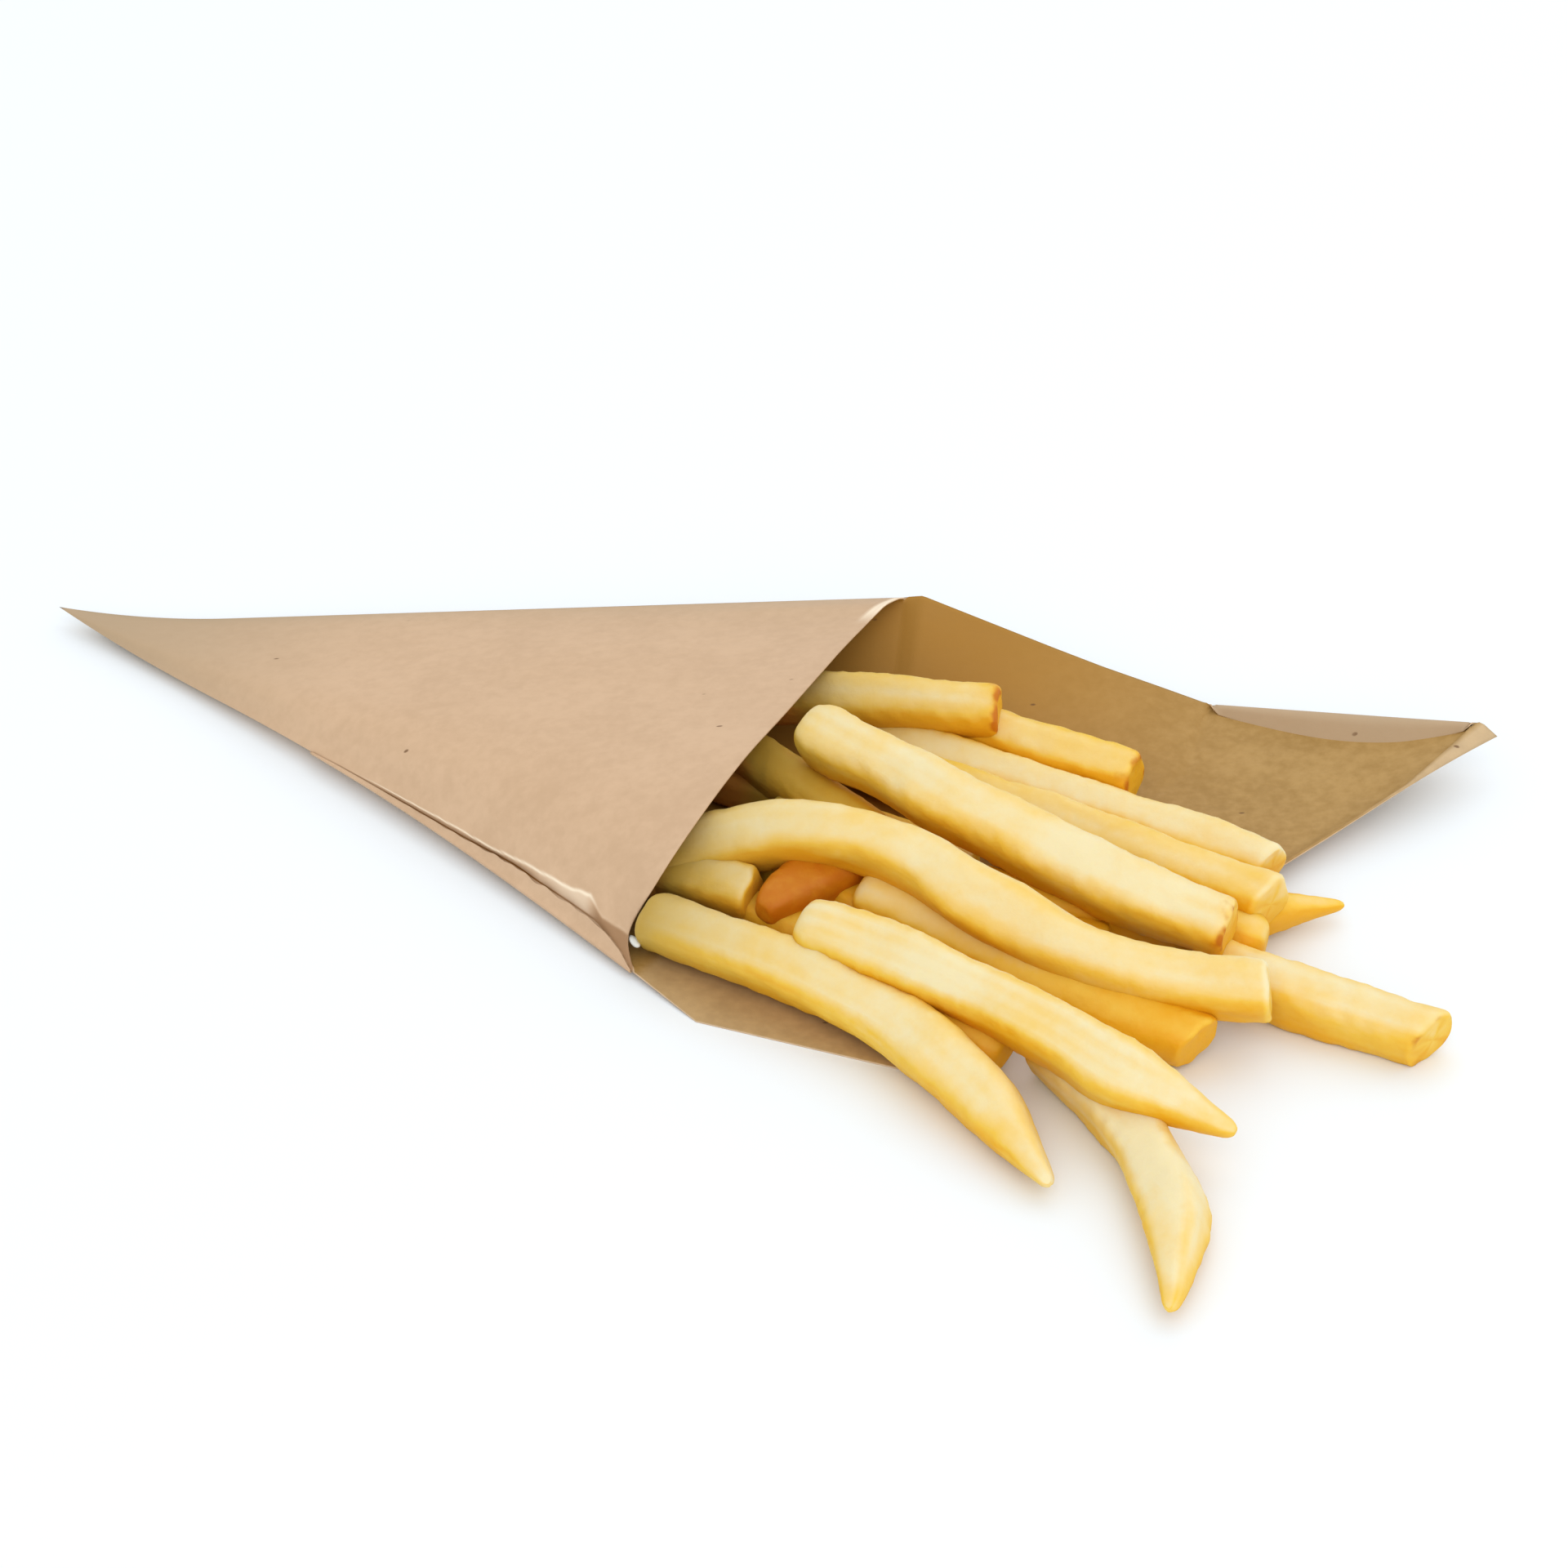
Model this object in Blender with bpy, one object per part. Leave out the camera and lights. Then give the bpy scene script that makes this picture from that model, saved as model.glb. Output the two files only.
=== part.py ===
"""Fries spilling from a kraft paper cone that lies on its side.

Two solids: the cone, rolled from one sheet whose back panel runs on into a pointed
flap, and the heap of fries, a low core with every fry that shows fused onto it.

Lengths are in millimetres until the meshes are made. X runs from the cone's closed
tip to the flap's corner, Y runs away to the cone's far side, and Z is up. The table
is Z = 0 and the tip is at X = Y = 0 until the whole is centred over the origin.
"""
import math
from collections import namedtuple

import bmesh
import bpy
import numpy as np

MM = 0.001

# Paper cone: the corners of the sheet as it lies, measured from the tip.
PAPER_THICKNESS = 0.5
FAR_CORNER = np.array([147.0, -15.0])
NEAR_CORNER = np.array([103.0, -101.5])
NEAR_KINK = np.array([113.0, -112.5])
FLAP_NEAR_CORNER = np.array([145.0, -124.5])
FLAP_TIP = np.array([244.0, -46.5])
KINK_ROW = 1.3
FAR_CORNER_LIFT = 15.0
NEAR_CORNER_LIFT = 1.2
NEAR_FOLD_LIFT = 2.4
NEAR_FOLD_BOW = 2.6
FLAP_TIP_LIFT = 8.0
TIP_LIFT = 3.5
TIP_LENGTH = 30.0

# How far the raised sides reach into the floor of the cone, as shares of its width.
FAR_RISE_AT_MOUTH = 0.28
FAR_RISE_AT_FLAP = 0.86
NEAR_RISE = 0.20

# The flap's far margin rolls over towards the fries between here and its corner.
MARGIN_SHARE = 0.15
CURL_FROM_ROW = 1.48
CURL_ANGLE = math.radians(192)
CURL_RADIUS = 2.3
CURL_LIP = 7.3
CURL_SHARES = (0.22, 0.78)
CURL_LEAST = 0.3

# The mouth's upper edge, from the far corner (0) to the near corner (1): how high it
# arches, and how far it bows back towards the tip.
MOUTH_PLACE = (0.0, 0.15, 0.40, 0.65, 0.80, 0.90, 0.955, 1.0)
MOUTH_HEIGHT = (15.0, 16.6, 19.1, 20.0, 18.4, 13.5, 5.0, 1.2)
MOUTH_BOW = (0.0, 0.0, -0.3, -1.3, -1.2, 0.5, 3.0, 0.0)

# Where the hollow begins, and how solid the two folds are.
CAVITY_FROM_ROW = 0.20
FAR_FOLD_DEPTH = 0.8
NEAR_FOLD_DEPTH = 1.6

CONE_ROWS = 14
FLAP_ROWS = 20
MARGIN_COLUMNS = 9
MAIN_COLUMNS = 10
NEAR_COLUMNS = (0.88, 0.92, 0.955, 0.98, 1.0)

# Fries: a fry is a bar of rounded square section.
FRY_SIDES = 8
FRY_CORNER_POWER = 3.2
FRY_STATIONS = 7
CUT_LENGTH = 2.5
POINT_LENGTH = 22.0

# A fry runs from its butt (x, y, height of its middle) along a heading to a head at
# the given height. Sway is its bow to the left and lift is its bow upwards, each as
# a plain arch and an S. Ends are cut, round or point.
Fry = namedtuple("Fry", "name butt heading length head_height sway lift width roll ends")
FRIES = (
    Fry("top", (130, -60, 18.0), -35, 79, 12.0, (-3.4, 0.3), (0, 0), 8.6, 4, "round cut"),
    Fry("second", (146, -55, 10.0), -35.5, 69, 9.5, (0.6, 0), (0, 0), 8.2, -6, "cut round"),
    Fry("third", (141, -43.5, 5.6), -32, 75, 8.0, (0.8, 0), (-0.4, 0), 8.0, 5, "cut round"),
    Fry("far_short", (96, -35, 6.5), -10, 67, 12.5, (1.0, 0), (1.5, 0), 8.2, 3, "cut cut"),
    Fry("far_low", (144, -37.0, 6.4), -29.5, 43, 6.4, (0.3, 0), (0, 0), 8.0, 4, "cut cut"),
    Fry("shaded", (93, -41, 6.2), -31, 56, 8.5, (1.0, 0), (0.8, 0), 7.8, -5, "cut cut"),
    Fry("long_bent", (104, -81, 9.0), -22, 103, 11.5, (3.2, 5.0), (3.8, 2.4), 8.2, 0, "cut cut"),
    Fry("near_pale", (82, -65.6, 5.6), -32, 51, 6.0, (-1.0, 0), (0, 0), 7.6, 3, "cut round"),
    Fry("browned", (108, -85, 6.6), -1, 29, 7.2, (0, 0), (0, 0), 7.4, -8, "cut cut"),
    Fry("near_long", (107, -95, 6.0), -46, 83, 3.4, (8.4, -0.3), (1.5, 0), 8.8, 4, "round point"),
    Fry("crossing", (129, -102.5, 10.0), -36.5, 77, 8.0, (0.6, 1.2), (2.8, -0.5), 8.6, -4, "round point"),
    Fry("under_bent", (138.5, -88.5, 7.4), -34, 62, 4.4, (-1.0, 1.0), (0.3, 0), 7.8, 10, "round cut"),
    Fry("front_curved", (164.3, -124.5, 4.3), -73.5, 59, 3.4, (8.4, -1.1), (0.2, 0), 8.6, 0, "cut point"),
    Fry("right_low", (190, -103.5, 5.2), -28.5, 40, 4.2, (-0.4, 0), (-0.3, 0), 8.6, 5, "cut cut"),
    Fry("right_tip", (191, -95.5, 4.6), 24, 26.5, 2.4, (0, 0), (0.3, 0), 7.6, 0, "cut point"),
    Fry("gap_low", (168, -93, 7.0), -11, 34, 5.4, (-2.0, 0), (0.6, 0), 7.6, 8, "cut round"),
    Fry("near_low", (131, -106, 5.2), -34.5, 34, 4.6, (0, 0), (0.2, 0), 7.6, 8, "cut cut"),
)

# The heap's core: stations down the middle of the heap (x, y, half width, height).
CORE_STATIONS = (
    (66, -33, 8.0, 3.0),
    (90, -48, 15.0, 4.0),
    (112, -63, 21.0, 5.0),
    (134, -79, 27.0, 6.0),
    (152, -92, 27.0, 6.0),
    (168, -103, 18.0, 6.0),
    (181, -111, 9.0, 5.5),
    (188, -115, 5.0, 4.0),
)
CORE_FLOOR = 1.5
CORE_SIDES = 9

PAPER_COLOUR = (0.62, 0.42, 0.26, 1.0)
FRY_COLOUR = (0.90, 0.62, 0.22, 1.0)


def clear_scene():
    """Remove everything, so that the part starts from an empty file."""
    for thing in list(bpy.data.objects):
        bpy.data.objects.remove(thing, do_unlink=True)


def smooth_through(places, values, at):
    """Cubic Hermite curve through (place, value) knots, with slopes from neighbours."""
    places = np.asarray(places, dtype=float)
    values = np.asarray(values, dtype=float)
    slopes = np.gradient(values, places)
    at = np.clip(at, places[0], places[-1])
    left = np.clip(np.searchsorted(places, at, side="right") - 1, 0, len(places) - 2)
    step = places[left + 1] - places[left]
    t = (at - places[left]) / step
    near = (1 + 2 * t) * (1 - t) ** 2 * values[left] + t * (1 - t) ** 2 * step * slopes[left]
    far = t * t * (3 - 2 * t) * values[left + 1] - t * t * (1 - t) * step * slopes[left + 1]
    return near + far


def along(places, points, at):
    """Straight-line interpolation of plan points; the result has X and Y last."""
    points = np.asarray(points, dtype=float)
    return np.stack([np.interp(at, places, points[:, axis]) for axis in (0, 1)], axis=-1)


def far_line(row):
    """The far fold (rows 0 to 1) and the flap's far edge (rows 1 to 2), with heights."""
    plan = along((0, 1, 2), ((0, 0), FAR_CORNER, FLAP_TIP), row)
    t = np.clip(row - 1, 0, 1)
    beyond = FAR_CORNER_LIFT * (1 - t) ** 2 + FLAP_TIP_LIFT * t ** 3
    height = np.where(row < 1, FAR_CORNER_LIFT * row, beyond)
    return plan, height


def near_line(row):
    """The near fold (rows 0 to 1), then the free edge round the kink to the flap."""
    corners = ((0, 0), NEAR_CORNER, NEAR_KINK, FLAP_NEAR_CORNER)
    plan = along((0, 1, KINK_ROW, 2), corners, row)
    swell = np.sin(np.pi * np.clip(row, 0, 1))
    outward = NEAR_CORNER / np.linalg.norm(NEAR_CORNER)
    plan = plan + (NEAR_FOLD_BOW * swell)[..., None] * np.array([-outward[1], outward[0]])
    height = np.interp(row, (0, 1, KINK_ROW, 2), (0, NEAR_CORNER_LIFT, 0, 0))
    return plan, height + NEAR_FOLD_LIFT * swell


def inward_normal(row):
    """Unit plan vector square to the far line, swung along the end edge at the last."""
    fold = math.atan2(FAR_CORNER[1], FAR_CORNER[0])
    edge = FLAP_TIP - FAR_CORNER
    turn = math.atan2(edge[1], edge[0])
    end = FLAP_NEAR_CORNER - FLAP_TIP
    last = math.atan2(end[1], end[0]) + math.pi / 2
    heading = np.interp(row, (0.9, 1.2, 1.85, 2.0), (fold, turn, turn, last))
    return np.stack([np.sin(heading), -np.cos(heading)], axis=-1)


def curl_profile(margin, share, size):
    """The rolled far margin in section: flat, then an arc, then a straight lip.

    Share runs from 0 where the margin begins to 1 at its free edge, and size scales
    the roll. Returns the distance in from the far line and the height above the flat.
    """
    radius = CURL_RADIUS * size
    flat_part = np.clip(share / CURL_SHARES[0], 0, 1)
    arc_part = np.clip((share - CURL_SHARES[0]) / (CURL_SHARES[1] - CURL_SHARES[0]), 0, 1)
    lip_part = np.clip((share - CURL_SHARES[1]) / (1 - CURL_SHARES[1]), 0, 1)
    angle = CURL_ANGLE * arc_part
    lip = CURL_LIP * size * lip_part
    inward = margin - (margin - radius) * flat_part - radius * np.sin(angle)
    inward = inward - lip * math.cos(CURL_ANGLE)
    climb = radius * (1 - np.cos(angle)) + lip * math.sin(CURL_ANGLE)
    return inward, climb


def tip_lift(plan):
    """The flattened tip bends up off the table over its last few centimetres."""
    reach = np.clip(1 - plan[..., 0] / TIP_LENGTH, 0, 1)
    return TIP_LIFT * reach ** 2


def back_panel(across, row):
    """The sheet's outer face under the fries; across runs 0 at the far side to 1."""
    across, row = np.broadcast_arrays(across, row)
    far, far_height = far_line(row)
    near, near_height = near_line(row)
    width = np.linalg.norm(far - near, axis=-1)
    margin = MARGIN_SHARE * width
    rolled = np.sin(np.pi * np.clip((row - CURL_FROM_ROW) / (2 - CURL_FROM_ROW), 0, 1))
    p = np.clip(1 - across / MARGIN_SHARE, 0, 1)
    inset, climb = curl_profile(margin, p, np.maximum(rolled, CURL_LEAST))
    begun = np.minimum(rolled / CURL_LEAST, 1)
    inset = (1 - begun) * (1 - p) * margin + begun * inset
    climb = begun * climb
    inward = inward_normal(row)
    base = far + margin[..., None] * inward
    main = np.clip((across - MARGIN_SHARE) / (1 - MARGIN_SHARE), 0, 1)
    plan = base + main[..., None] * (near - base) + (inset - margin)[..., None] * inward
    distance = np.clip(inset, 0, margin) + main * (width - margin)
    share = distance / width
    spread = np.clip(row - 1, 0, 1) ** 2
    far_reach = FAR_RISE_AT_MOUTH + (FAR_RISE_AT_FLAP - FAR_RISE_AT_MOUTH) * spread
    height = far_height * np.clip(1 - share / far_reach, 0, 1) ** 2
    height = height + near_height * np.clip((share - 1 + NEAR_RISE) / NEAR_RISE, 0, 1) ** 2
    height = height + climb + tip_lift(plan)
    return np.concatenate([plan, height[..., None]], axis=-1)


def front_panel(across, row):
    """The sheet's outer face over the fries: straight lines from the tip to the mouth."""
    across, row = np.broadcast_arrays(across, row)
    chord = NEAR_CORNER - FAR_CORNER
    towards_tip = np.array([chord[1], -chord[0]]) / np.linalg.norm(chord)
    bow = smooth_through(MOUTH_PLACE, MOUTH_BOW, across)
    mouth = FAR_CORNER + across[..., None] * chord + bow[..., None] * towards_tip
    arch = smooth_through(MOUTH_PLACE, MOUTH_HEIGHT, across)
    near, near_height = near_line(row)
    near_share = across ** 4
    plan = row[..., None] * mouth + near_share[..., None] * (near - row[..., None] * NEAR_CORNER)
    height = row * arch + near_share * (near_height - row * NEAR_CORNER_LIFT) + tip_lift(plan)
    return np.concatenate([plan, height[..., None]], axis=-1)


def normals(grid):
    """Unit normals of a grid of points, from the differences along its two ways."""
    down = np.gradient(grid, axis=0)
    side = np.gradient(grid, axis=1)
    cross = np.cross(side, down)
    return cross / np.linalg.norm(cross, axis=-1, keepdims=True)


def inner_places(across, row):
    """Places of the inner face: pulled in from the two folds while inside the cone."""
    far, _ = far_line(row)
    near, _ = near_line(row)
    width = np.linalg.norm(far - near, axis=-1)
    folded = (row <= 1.0).astype(float)
    left = FAR_FOLD_DEPTH / width * folded
    right = NEAR_FOLD_DEPTH / width * folded
    return left + (1 - left - right) * across


def paper_grids():
    """The four faces of the sheet: back and front, outer and inner."""
    across = np.concatenate([
        np.linspace(0, MARGIN_SHARE, MARGIN_COLUMNS, endpoint=False),
        np.linspace(MARGIN_SHARE, NEAR_COLUMNS[0], MAIN_COLUMNS, endpoint=False),
        np.array(NEAR_COLUMNS)])[None, :]
    cone_rows = np.linspace(0, 1, CONE_ROWS + 1)[1:]
    flap_rows = 1 + np.linspace(0, 1, FLAP_ROWS + 1)[1:]
    rows = np.concatenate([cone_rows, flap_rows])[:, None]
    cone = cone_rows[:, None]
    outer_back = back_panel(across, rows)
    outer_front = front_panel(across, cone)
    hollow = cone_rows >= CAVITY_FROM_ROW
    hollow_rows = rows[np.concatenate([hollow, np.ones(FLAP_ROWS, bool)])]
    inner_back = back_panel(inner_places(across, hollow_rows), hollow_rows)
    inner_front = front_panel(inner_places(across, cone[hollow]), cone[hollow])
    inner_back = inner_back + PAPER_THICKNESS * upward(normals(inner_back))
    inner_front = inner_front - PAPER_THICKNESS * upward(normals(inner_front))
    count = len(inner_front)
    for column in (0, -1):
        shared = (inner_back[:count, column] + inner_front[:, column]) / 2
        inner_back[:count, column] = shared
        inner_front[:, column] = shared
    return outer_back, outer_front, inner_back, inner_front


def upward(vectors):
    """Turn a grid's normals so that the middle column points up."""
    middle = vectors[:, vectors.shape[1] // 2, 2]
    sign = np.where(middle < 0, -1.0, 1.0)[:, None, None]
    return vectors * sign


def sheet_faces(indices):
    """Quads between the neighbours of a grid of vertex numbers, as tuples."""
    a, b = indices[:-1, :-1].ravel(), indices[:-1, 1:].ravel()
    c, d = indices[1:, 1:].ravel(), indices[1:, :-1].ravel()
    faces = []
    for quad in zip(a, b, c, d):
        corners = tuple(dict.fromkeys(int(corner) for corner in quad))
        if len(corners) > 2:
            faces.append(corners)
    return faces


def number_grid(grid, store, shared=None):
    """Add a grid's points to the store, sharing the outer columns with another grid."""
    rows, columns = grid.shape[:2]
    numbers = np.zeros((rows, columns), dtype=int)
    for column in range(columns):
        if shared is not None and column in (0, columns - 1):
            numbers[:, column] = shared[:rows, column]
            continue
        start = len(store)
        store.extend(grid[:, column])
        numbers[:, column] = np.arange(start, start + rows)
    return numbers


def with_apex(numbers, apex):
    """Put the apex vertex above the first row of a numbered grid."""
    return np.vstack([np.full(numbers.shape[1], apex), numbers])


def build_cone(material):
    """One closed solid: outer skin, inner skin and the rims that join them."""
    outer_back, outer_front, inner_back, inner_front = paper_grids()
    points = [np.array([0.0, 0.0, TIP_LIFT])]
    out_b = number_grid(outer_back, points)
    out_f = number_grid(outer_front, points, out_b)
    in_b = number_grid(inner_back, points)
    in_f = number_grid(inner_front, points, in_b)
    first_ring = np.concatenate([inner_back[0], inner_front[0]])
    inner_apex = len(points)
    points.append(first_ring.mean(axis=0) * np.array([0.8, 0.8, 1.0]))
    faces = sheet_faces(with_apex(out_b, 0)) + sheet_faces(with_apex(out_f, 0))
    faces += sheet_faces(with_apex(in_b, inner_apex)) + sheet_faces(with_apex(in_f, inner_apex))
    mouth_out, mouth_in = CONE_ROWS - 1, in_f.shape[0] - 1
    faces += sheet_faces(np.stack([out_f[-1], in_f[-1]]))
    faces += sheet_faces(np.stack([out_b[-1], in_b[-1]]))
    for column in (0, -1):
        faces += sheet_faces(np.stack([out_b[mouth_out:, column], in_b[mouth_in:, column]]))
    return mesh_object("paper_cone", points, faces, material)


def fry_frame(fry, at):
    """Middle line of a fry with its side and up vectors, as arrays over the stations."""
    heading = math.radians(fry.heading)
    forward = np.array([math.cos(heading), math.sin(heading)])
    left = np.array([-forward[1], forward[0]])
    arch, ess = np.sin(np.pi * at), np.sin(2 * np.pi * at)
    plan = np.asarray(fry.butt[:2]) + (fry.length * at)[:, None] * forward
    plan = plan + (fry.sway[0] * arch + fry.sway[1] * ess)[:, None] * left
    height = fry.butt[2] + (fry.head_height - fry.butt[2]) * at
    height = height + fry.lift[0] * arch + fry.lift[1] * ess
    middle = np.concatenate([plan, height[:, None]], axis=1)
    tangent = np.gradient(middle, at, axis=0)
    tangent /= np.linalg.norm(tangent, axis=1, keepdims=True)
    side = np.cross(np.array([0.0, 0.0, 1.0]), tangent)
    side /= np.linalg.norm(side, axis=1, keepdims=True)
    up = np.cross(tangent, side)
    roll = math.radians(fry.roll)
    turned_side = math.cos(roll) * side + math.sin(roll) * up
    turned_up = math.cos(roll) * up - math.sin(roll) * side
    return middle, turned_side, turned_up


def end_scale(distance, kind):
    """How much of its full width a fry keeps at a distance from one of its ends."""
    if kind == "point":
        return 0.22 + 0.78 * np.clip(distance / POINT_LENGTH, 0, 1) ** 0.75
    least = 0.78 if kind == "cut" else 0.5
    return least + (1 - least) * np.clip(distance / CUT_LENGTH, 0, 1) ** 0.5


def fry_stations(fry):
    """Stations from butt to head: close together at the ends, even between."""
    butt_kind, head_kind = fry.ends.split()
    shy = CUT_LENGTH / fry.length
    inner = np.linspace(shy, 1 - shy, FRY_STATIONS - 2)
    if head_kind == "point":
        inner = np.append(inner[:-1], (1 - 0.5 * POINT_LENGTH / fry.length, 1 - shy))
    return np.concatenate([[0.0], np.unique(inner), [1.0]])


def build_fry(fry, material):
    """A rounded square bar carried along the fry's middle line, narrowed at its ends."""
    at = fry_stations(fry)
    middle, side, up = fry_frame(fry, at)
    butt_kind, head_kind = fry.ends.split()
    scale = end_scale(at * fry.length, butt_kind) * end_scale((1 - at) * fry.length, head_kind)
    turn = 2 * np.pi * (np.arange(FRY_SIDES) + 0.5) / FRY_SIDES
    radius = (np.abs(np.cos(turn)) ** FRY_CORNER_POWER
              + np.abs(np.sin(turn)) ** FRY_CORNER_POWER) ** (-1 / FRY_CORNER_POWER)
    ring = fry.width / 2 * radius
    offset = (ring * np.cos(turn))[None, :, None] * side[:, None, :]
    offset = offset + (ring * np.sin(turn))[None, :, None] * up[:, None, :]
    points = middle[:, None, :] + scale[:, None, None] * offset
    points[..., 2] = np.maximum(points[..., 2], 0.0)
    return tube_object("fry_" + fry.name, points, material)


def build_core(material):
    """A low mound under the fries that show, flat below and rounded on top."""
    stations = np.array(CORE_STATIONS, dtype=float)
    run = np.gradient(stations[:, :2], axis=0)
    run /= np.linalg.norm(run, axis=1, keepdims=True)
    left = np.stack([-run[:, 1], run[:, 0]], axis=1)
    turn = np.linspace(0, np.pi, CORE_SIDES)
    sideways = np.cos(turn)[None, :, None] * (stations[:, 2:3] * left)[:, None, :]
    plan = stations[:, None, :2] + sideways
    height = CORE_FLOOR + stations[:, 3:4] * np.sin(turn)[None, :] ** 0.7
    points = np.concatenate([plan, height[..., None]], axis=2)
    return tube_object("heap_core", points, material)


def tube_object(name, rings, material):
    """Close a stack of equal rings of points into a solid with flat ends."""
    count, sides = rings.shape[:2]
    numbers = np.arange(count * sides).reshape(count, sides)
    wrapped = np.concatenate([numbers, numbers[:, :1]], axis=1)
    faces = sheet_faces(wrapped)
    faces.append(tuple(int(number) for number in numbers[0][::-1]))
    faces.append(tuple(int(number) for number in numbers[-1]))
    return mesh_object(name, rings.reshape(-1, 3), faces, material)


def mesh_object(name, points, faces, material):
    """Make an object in metres from points in millimetres, its faces turned outwards."""
    mesh = bpy.data.meshes.new(name)
    mesh.from_pydata([tuple(float(v) * MM for v in point) for point in points], [], faces)
    work = bmesh.new()
    work.from_mesh(mesh)
    bmesh.ops.recalc_face_normals(work, faces=work.faces)
    work.to_mesh(mesh)
    work.free()
    mesh.materials.append(material)
    mesh.shade_smooth()
    mesh.set_sharp_from_angle(angle=math.radians(40))
    piece = bpy.data.objects.new(name, mesh)
    bpy.context.scene.collection.objects.link(piece)
    return piece


def shells(work):
    """Groups of faces of a bmesh that hang together."""
    left = set(work.faces)
    groups = []
    while left:
        group, front = set(), [left.pop()]
        while front:
            face = front.pop()
            group.add(face)
            for edge in face.edges:
                for other in edge.link_faces:
                    if other in left:
                        left.discard(other)
                        front.append(other)
        groups.append(group)
    return groups


def keep_outer_shell(mesh):
    """Fill the hollows that fusing seals and drop loose scraps: the widest shell stays."""
    work = bmesh.new()
    work.from_mesh(mesh)
    groups = shells(work)
    widest = max(groups, key=lambda group: sum(face.calc_area() for face in group))
    spare = [face for group in groups if group is not widest for face in group]
    bmesh.ops.delete(work, geom=spare, context="FACES")
    work.to_mesh(mesh)
    work.free()


def build_heap(material):
    """Fuse the fries onto the core with one Boolean union and keep the result alone."""
    heap = build_core(material)
    heap.name = "fries_heap"
    group = bpy.data.collections.new("fries_to_fuse")
    bpy.context.scene.collection.children.link(group)
    for fry in FRIES:
        piece = build_fry(fry, material)
        bpy.context.scene.collection.objects.unlink(piece)
        group.objects.link(piece)
    fuse = heap.modifiers.new("fuse", "BOOLEAN")
    fuse.operation = "UNION"
    fuse.operand_type = "COLLECTION"
    fuse.collection = group
    fuse.solver = "MANIFOLD"
    evaluated = heap.evaluated_get(bpy.context.evaluated_depsgraph_get())
    fused = bpy.data.meshes.new_from_object(evaluated)
    keep_outer_shell(fused)
    heap.modifiers.clear()
    heap.data = fused
    for piece in list(group.objects):
        bpy.data.objects.remove(piece, do_unlink=True)
    bpy.data.collections.remove(group)
    return heap


def plain_material(name, colour, roughness):
    """A Principled BSDF finish of one colour."""
    material = bpy.data.materials.new(name)
    material.use_nodes = True
    shader = material.node_tree.nodes["Principled BSDF"]
    shader.inputs["Base Color"].default_value = colour
    shader.inputs["Roughness"].default_value = roughness
    shader.inputs["Metallic"].default_value = 0.0
    return material


def centre_over_origin(pieces):
    """Parent the pieces to an empty, placed so that their box stands over the origin."""
    corners = np.array([v.co[:2] for piece in pieces for v in piece.data.vertices])
    middle = (corners.min(axis=0) + corners.max(axis=0)) / 2
    place = bpy.data.objects.new("fries_in_cone", None)
    bpy.context.scene.collection.objects.link(place)
    place.location = (-float(middle[0]), -float(middle[1]), 0.0)
    for piece in pieces:
        piece.parent = place


def main():
    """Build the cone and the heap and set them over the origin."""
    clear_scene()
    kraft = plain_material("kraft_paper", PAPER_COLOUR, 0.75)
    potato = plain_material("fried_potato", FRY_COLOUR, 0.5)
    cone = build_cone(kraft)
    heap = build_heap(potato)
    centre_over_origin([cone, heap])


main()
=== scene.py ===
"""A kraft paper cone of fries lying on its side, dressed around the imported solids.

All shapes are worked out in millimetres from the cone's closed tip: X runs to the
flap's corner, Y to the far side of the fold and Z up from the table. They are moved
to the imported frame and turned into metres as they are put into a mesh.
"""
import logging
import math
from dataclasses import dataclass, field
from enum import Enum
from typing import Callable, Optional, Sequence, Union

import bpy
import numpy as np
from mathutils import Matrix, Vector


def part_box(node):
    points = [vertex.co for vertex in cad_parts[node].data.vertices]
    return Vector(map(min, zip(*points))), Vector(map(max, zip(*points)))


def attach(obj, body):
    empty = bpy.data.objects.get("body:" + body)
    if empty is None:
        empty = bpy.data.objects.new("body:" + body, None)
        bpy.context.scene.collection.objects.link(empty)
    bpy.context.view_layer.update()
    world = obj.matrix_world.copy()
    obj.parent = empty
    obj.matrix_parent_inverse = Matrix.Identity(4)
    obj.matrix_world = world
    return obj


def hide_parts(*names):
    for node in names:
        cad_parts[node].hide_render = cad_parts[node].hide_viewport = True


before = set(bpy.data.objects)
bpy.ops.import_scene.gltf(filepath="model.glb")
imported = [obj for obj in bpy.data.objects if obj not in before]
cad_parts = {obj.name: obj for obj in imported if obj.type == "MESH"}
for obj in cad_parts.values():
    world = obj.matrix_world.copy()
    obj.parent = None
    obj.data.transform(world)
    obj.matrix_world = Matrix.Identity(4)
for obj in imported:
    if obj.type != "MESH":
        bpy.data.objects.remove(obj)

LOG = logging.getLogger("fries")
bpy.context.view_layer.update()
BODY = "root"
MM = 0.001

Array = np.ndarray
Materials = Sequence[bpy.types.Material]
Operand = Union["Wire", float]
Feed = Union["Wire", float, tuple]


class Node(Enum):
    """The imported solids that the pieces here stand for."""

    PAPER = "paper_cone"
    HEAP = "fries_heap"


class Slot(Enum):
    """The record's material slots."""

    PAPER = "kraft_paper"
    POTATO = "fried_potato"


class Wave(Enum):
    """A fry's own ripples: seed step, length in millimetres, wave count and height."""

    WANDER = (0, 24.0, 7, 0.25)
    TWIST = (1, 45.0, 7, 0.08)
    POWER = (2, 30.0, 7, 0.4)
    COARSE = (3, 8.0, 12, 0.018)
    FINE = (4, 2.6, 14, 0.015)
    WIDTH = (5, 28.0, 7, 0.03)
    HEIGHT = (6, 32.0, 7, 0.03)
    CUT = (7, 5.0, 7, 0.35)
    PATCH = (8, 22.0, 7, 0.09)
    STREAK = (9, 3.0, 12, 0.08)
    RIM = (10, 2.4, 12, 0.5)


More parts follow.
